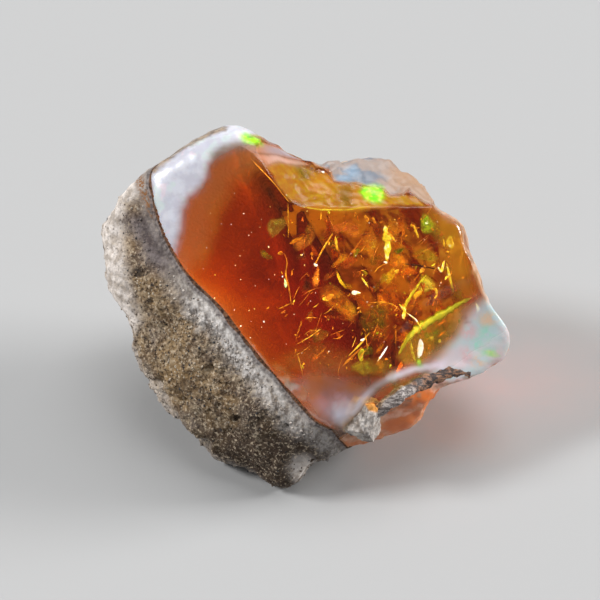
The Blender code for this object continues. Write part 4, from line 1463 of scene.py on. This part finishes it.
def rock_material():
    """Sandy volcanic rock: tan and grey grit with dark gaps, a pale streaky rim and a rusty seam, with painted
    shade at the foot, in a hollow and beside the seam.
    """
    t = Tree("pitted_rock")
    broad, patch, grit = t.noise(5.0, 4.0), t.noise(1.3, 4.0), t.noise(0.36, 4.0, 0.62)
    rim, side, low, seam_shadow_and_line = t.mask("rim"), t.mask("side"), t.mask("low"), t.mask("seam_shadow_and_line")
    streak = t.streaks(1.0, -35.0, (1.6, 0.7, 0.9), 6.0, 0.65)
    colour = t.mix(broad.between(0.38, 0.62), TAN_SAND, GREY_SAND)
    colour = t.mix(patch.between(0.45, 0.65) * 0.7, colour, PALE_SAND)
    colour = t.mix(t.noise(1.8, 4.0).between(0.50, 0.38) * 0.7, colour, BROWN_SHADE)
    pale = t.mix(patch.between(0.36, 0.6), SIDE_DULL, SIDE_PALE)
    # painted shade: FOOT_SHADE over the low mask darkens the lower right
    colour = t.lay(colour, ("low", 0.92, FOOT_SHADE), ("side", 0.85, pale))
    streaks = t.mix(
        t.mask("pale"), t.mix(streak.between(0.38, 0.62), RIM_DARK, RIM_GREY),
        t.mix(streak.between(0.36, 0.60), RIM_SHADE, RIM_PALE))
    # the pale rim is held back where the painted foot shade lies
    colour = t.mix(rim * 0.92 * (1.0 - low * 0.5), colour, streaks)
    # painted shade in the hollow beside the seam, which also holds back the pale grit
    colour = t.lay(colour, ("grey", 0.85, t.mix(patch.between(0.4, 0.6), HOLLOW_SHADE_DARK, HOLLOW_SHADE_GREY)))
    rough = (1.0 - rim * 0.7 - side * 0.65).held()
    bright = grit.between(0.52, 0.66) * rough * (0.8 - t.mask("grey") * 0.5)
    colour = t.mix(bright, colour, GRIT_PALE)
    colour = t.mix(grit.between(0.47, 0.33) * rough * 0.9, colour, GRIT_DARK)
    dark = t.noise(0.45, 4.0).between(0.40, 0.30) * rough
    colour = t.mix((dark * 0.9).most(t.mask("ore") * 0.8).held(), colour, ORE_BLACK)
    colour = t.lay(colour, ("knob", 0.8, pale), ("rust", grit.between(0.42, 0.52), (0.24, 0.10, 0.03)))
    # painted shadow: a grey-mauve band along the seam; then the seam's own dark brown line
    mauve = t.mix(grit.between(0.4, 0.6), SEAM_SHADOW_MAUVE, SEAM_SHADOW_GREY)
    colour = t.mix(seam_shadow_and_line.between(0.1, 0.6) * 0.75, colour, mauve)
    line = t.mix(grit.between(0.4, 0.6), SEAM_DARK, SEAM_BROWN)
    colour = t.mix(seam_shadow_and_line.between(0.86, 0.96), colour, line)
    lining = t.mix(broad.between(0.4, 0.6), LINING_RED, LINING_ORANGE)
    # painted shade on the lining towards the lower right; lighter towards the upper left
    lining = t.lay(lining, ("painted_lining_shade", 0.5, (0.20, 0.045, 0.01)), ("high", 0.55, (0.56, 0.17, 0.015)))
    colour = t.lay(colour, ("amber", 1.0, (0.62, 0.27, 0.06)), ("inside", 1.0, lining))
    height = grit * 0.6 + t.cells(0.38) * -0.5
    return t.finish(t.principled(
        Base_Color=colour, Roughness=0.9, Specular_IOR_Level=0.25, Normal=t.bump(height, 0.17, 0.9)))


def vein_material():
    """The vein along the lip: grey crumbly rock that turns to dark brown iron stone."""
    t = Tree("matrix_vein")
    fine = t.noise(0.16, 3.0)
    grit = t.streaks(0.45, -13.0, (0.28, 1.5, 1.5), 4.0, 0.6)
    grey = t.mix(grit.between(0.42, 0.58), (0.15, 0.12, 0.11), (0.50, 0.44, 0.41))
    brown = t.mix(grit.between(0.44, 0.58), (0.022, 0.008, 0.005), (0.26, 0.12, 0.06))
    colour = t.lay(grey, ("brown", 1.0, brown))
    colour = t.mix(fine.between(0.5, 0.35) * 0.8, colour, (0.02, 0.014, 0.012))
    return t.finish(t.principled(Base_Color=colour, Roughness=0.6, Normal=t.bump(fine, 0.08, 0.7)))


def grain_material():
    """Sand grains: pale quartz to ochre, or near-black crystals with a little gloss."""
    t = Tree("sand_grain")
    dark, shade = t.mask("dark"), t.mask("shade")
    colour = t.mix(shade.between(0.0, 0.5), (0.13, 0.085, 0.05), (0.27, 0.18, 0.10))
    colour = t.mix(shade.between(0.5, 1.0), colour, (0.50, 0.42, 0.32))
    patch = t.noise(1.8, 4.0)
    colour = t.mix(patch.between(0.50, 0.38) * 0.75, colour, BROWN_SHADE)
    colour = t.mix(patch.between(0.54, 0.66) * 0.6, colour, (0.46, 0.40, 0.33))
    colour = t.lay(
        colour,
        # painted shade on the grains: at the foot (low) and in the hollow beside the seam (grey)
        ("low", 0.75, (0.055, 0.035, 0.023)),
        ("pale", 0.8, t.mix(shade, (0.20, 0.17, 0.15), (0.66, 0.60, 0.55))),
        ("grey", 0.9, (0.070, 0.052, 0.056)),
        ("dark", 1.0, (0.02, 0.02, 0.024)),
    )
    return t.finish(t.principled(Base_Color=colour, Roughness=0.7 - dark * 0.35))


# The stage, the lights and the camera

VIEW_DISTANCE = 183.33
LENS, SENSOR = 100.0, 36.0
FLOOR_REACH, FLOOR_GREY = 3.0, (0.36, 0.36, 0.36, 1.0)
ROOM_LIGHT, ROOM_STRENGTH, WALL_GREY = (0.93, 0.96, 1.0, 1.0), 0.20, (0.62, 0.62, 0.61, 1.0)
LIT_POINT = (0.0, 0.0, 0.016)
# Each lamp's place in metres, the width of its square and its power in watts
LAMPS = (
    ("key", (-2.05, 0.00, 1.75), 0.60, 62.0),
    ("fill", (0.30, 0.70, 2.60), 1.80, 46.0),
    ("rim", (2.15, 0.45, 0.95), 0.80, 66.0),
)


def add_floor():
    """A wide level floor under the stone."""
    mesh = bpy.data.meshes.new("floor")
    corners = [(-FLOOR_REACH, -FLOOR_REACH, 0), (FLOOR_REACH, -FLOOR_REACH, 0)]
    corners += [(FLOOR_REACH, FLOOR_REACH, 0), (-FLOOR_REACH, FLOOR_REACH, 0)]
    mesh.from_pydata(corners, [], [(0, 1, 2, 3)])
    t = Tree("pale_floor")
    mesh.materials.append(t.finish(t.principled(Base_Color=FLOOR_GREY, Roughness=0.8)))
    floor = bpy.data.objects.new("floor", mesh)
    bpy.context.collection.objects.link(floor)


def place_and_aim(name, data, place, aim):
    """A lamp or a camera at a place in metres, turned to a point."""
    item = bpy.data.objects.new(name, data)
    item.location = place
    item.rotation_euler = (Vector(aim) - Vector(place)).to_track_quat("-Z", "Y").to_euler()
    bpy.context.collection.objects.link(item)
    return item


def add_lamps():
    """The soft square lamps, all turned to the middle of the stone."""
    for name, place, size, power in LAMPS:
        lamp = bpy.data.lights.new(name, "AREA")
        lamp.size = size
        lamp.energy = power
        place_and_aim(name, lamp, place, LIT_POINT)


def add_camera():
    """A camera square to the broken face, as far off as frames 66 mm across the middle of the face."""
    camera = bpy.data.cameras.new("camera")
    camera.lens = LENS
    camera.sensor_width = SENSOR
    camera.clip_start = 0.01
    place, aim = to_scene(np.array([(0.0, 0.0, VIEW_DISTANCE), (0.0, 0.0, 0.0)]))
    bpy.context.scene.camera = place_and_aim("camera", camera, place, aim)


def set_look():
    """World light, the grey that the camera sees behind the stage, and how far light goes in glass."""
    scene = bpy.context.scene
    world = bpy.data.worlds.new("studio")
    world.use_nodes = True
    nodes, links = world.node_tree.nodes, world.node_tree.links
    room = nodes["Background"]
    room.inputs["Color"].default_value = ROOM_LIGHT
    room.inputs["Strength"].default_value = ROOM_STRENGTH
    wall = nodes.new("ShaderNodeBackground")
    wall.inputs["Color"].default_value = WALL_GREY
    mixed, path = nodes.new("ShaderNodeMixShader"), nodes.new("ShaderNodeLightPath")
    links.new(path.outputs["Is Camera Ray"], mixed.inputs[0])
    links.new(room.outputs[0], mixed.inputs[1])
    links.new(wall.outputs[0], mixed.inputs[2])
    links.new(mixed.outputs[0], nodes["World Output"].inputs["Surface"])
    scene.world = world
    scene.view_settings.view_transform = "Standard"
    scene.cycles.max_bounces = 24
    scene.cycles.transmission_bounces = 20
    scene.cycles.transparent_max_bounces = 16


make_opal(opal_material())
make_glints(glint_material(), sheet_material())
rock = rock_material()
make_rock(rock)
make_lobe(rock, vein_material())
make_grains(grain_material())
add_floor()
add_lamps()
add_camera()
set_look()
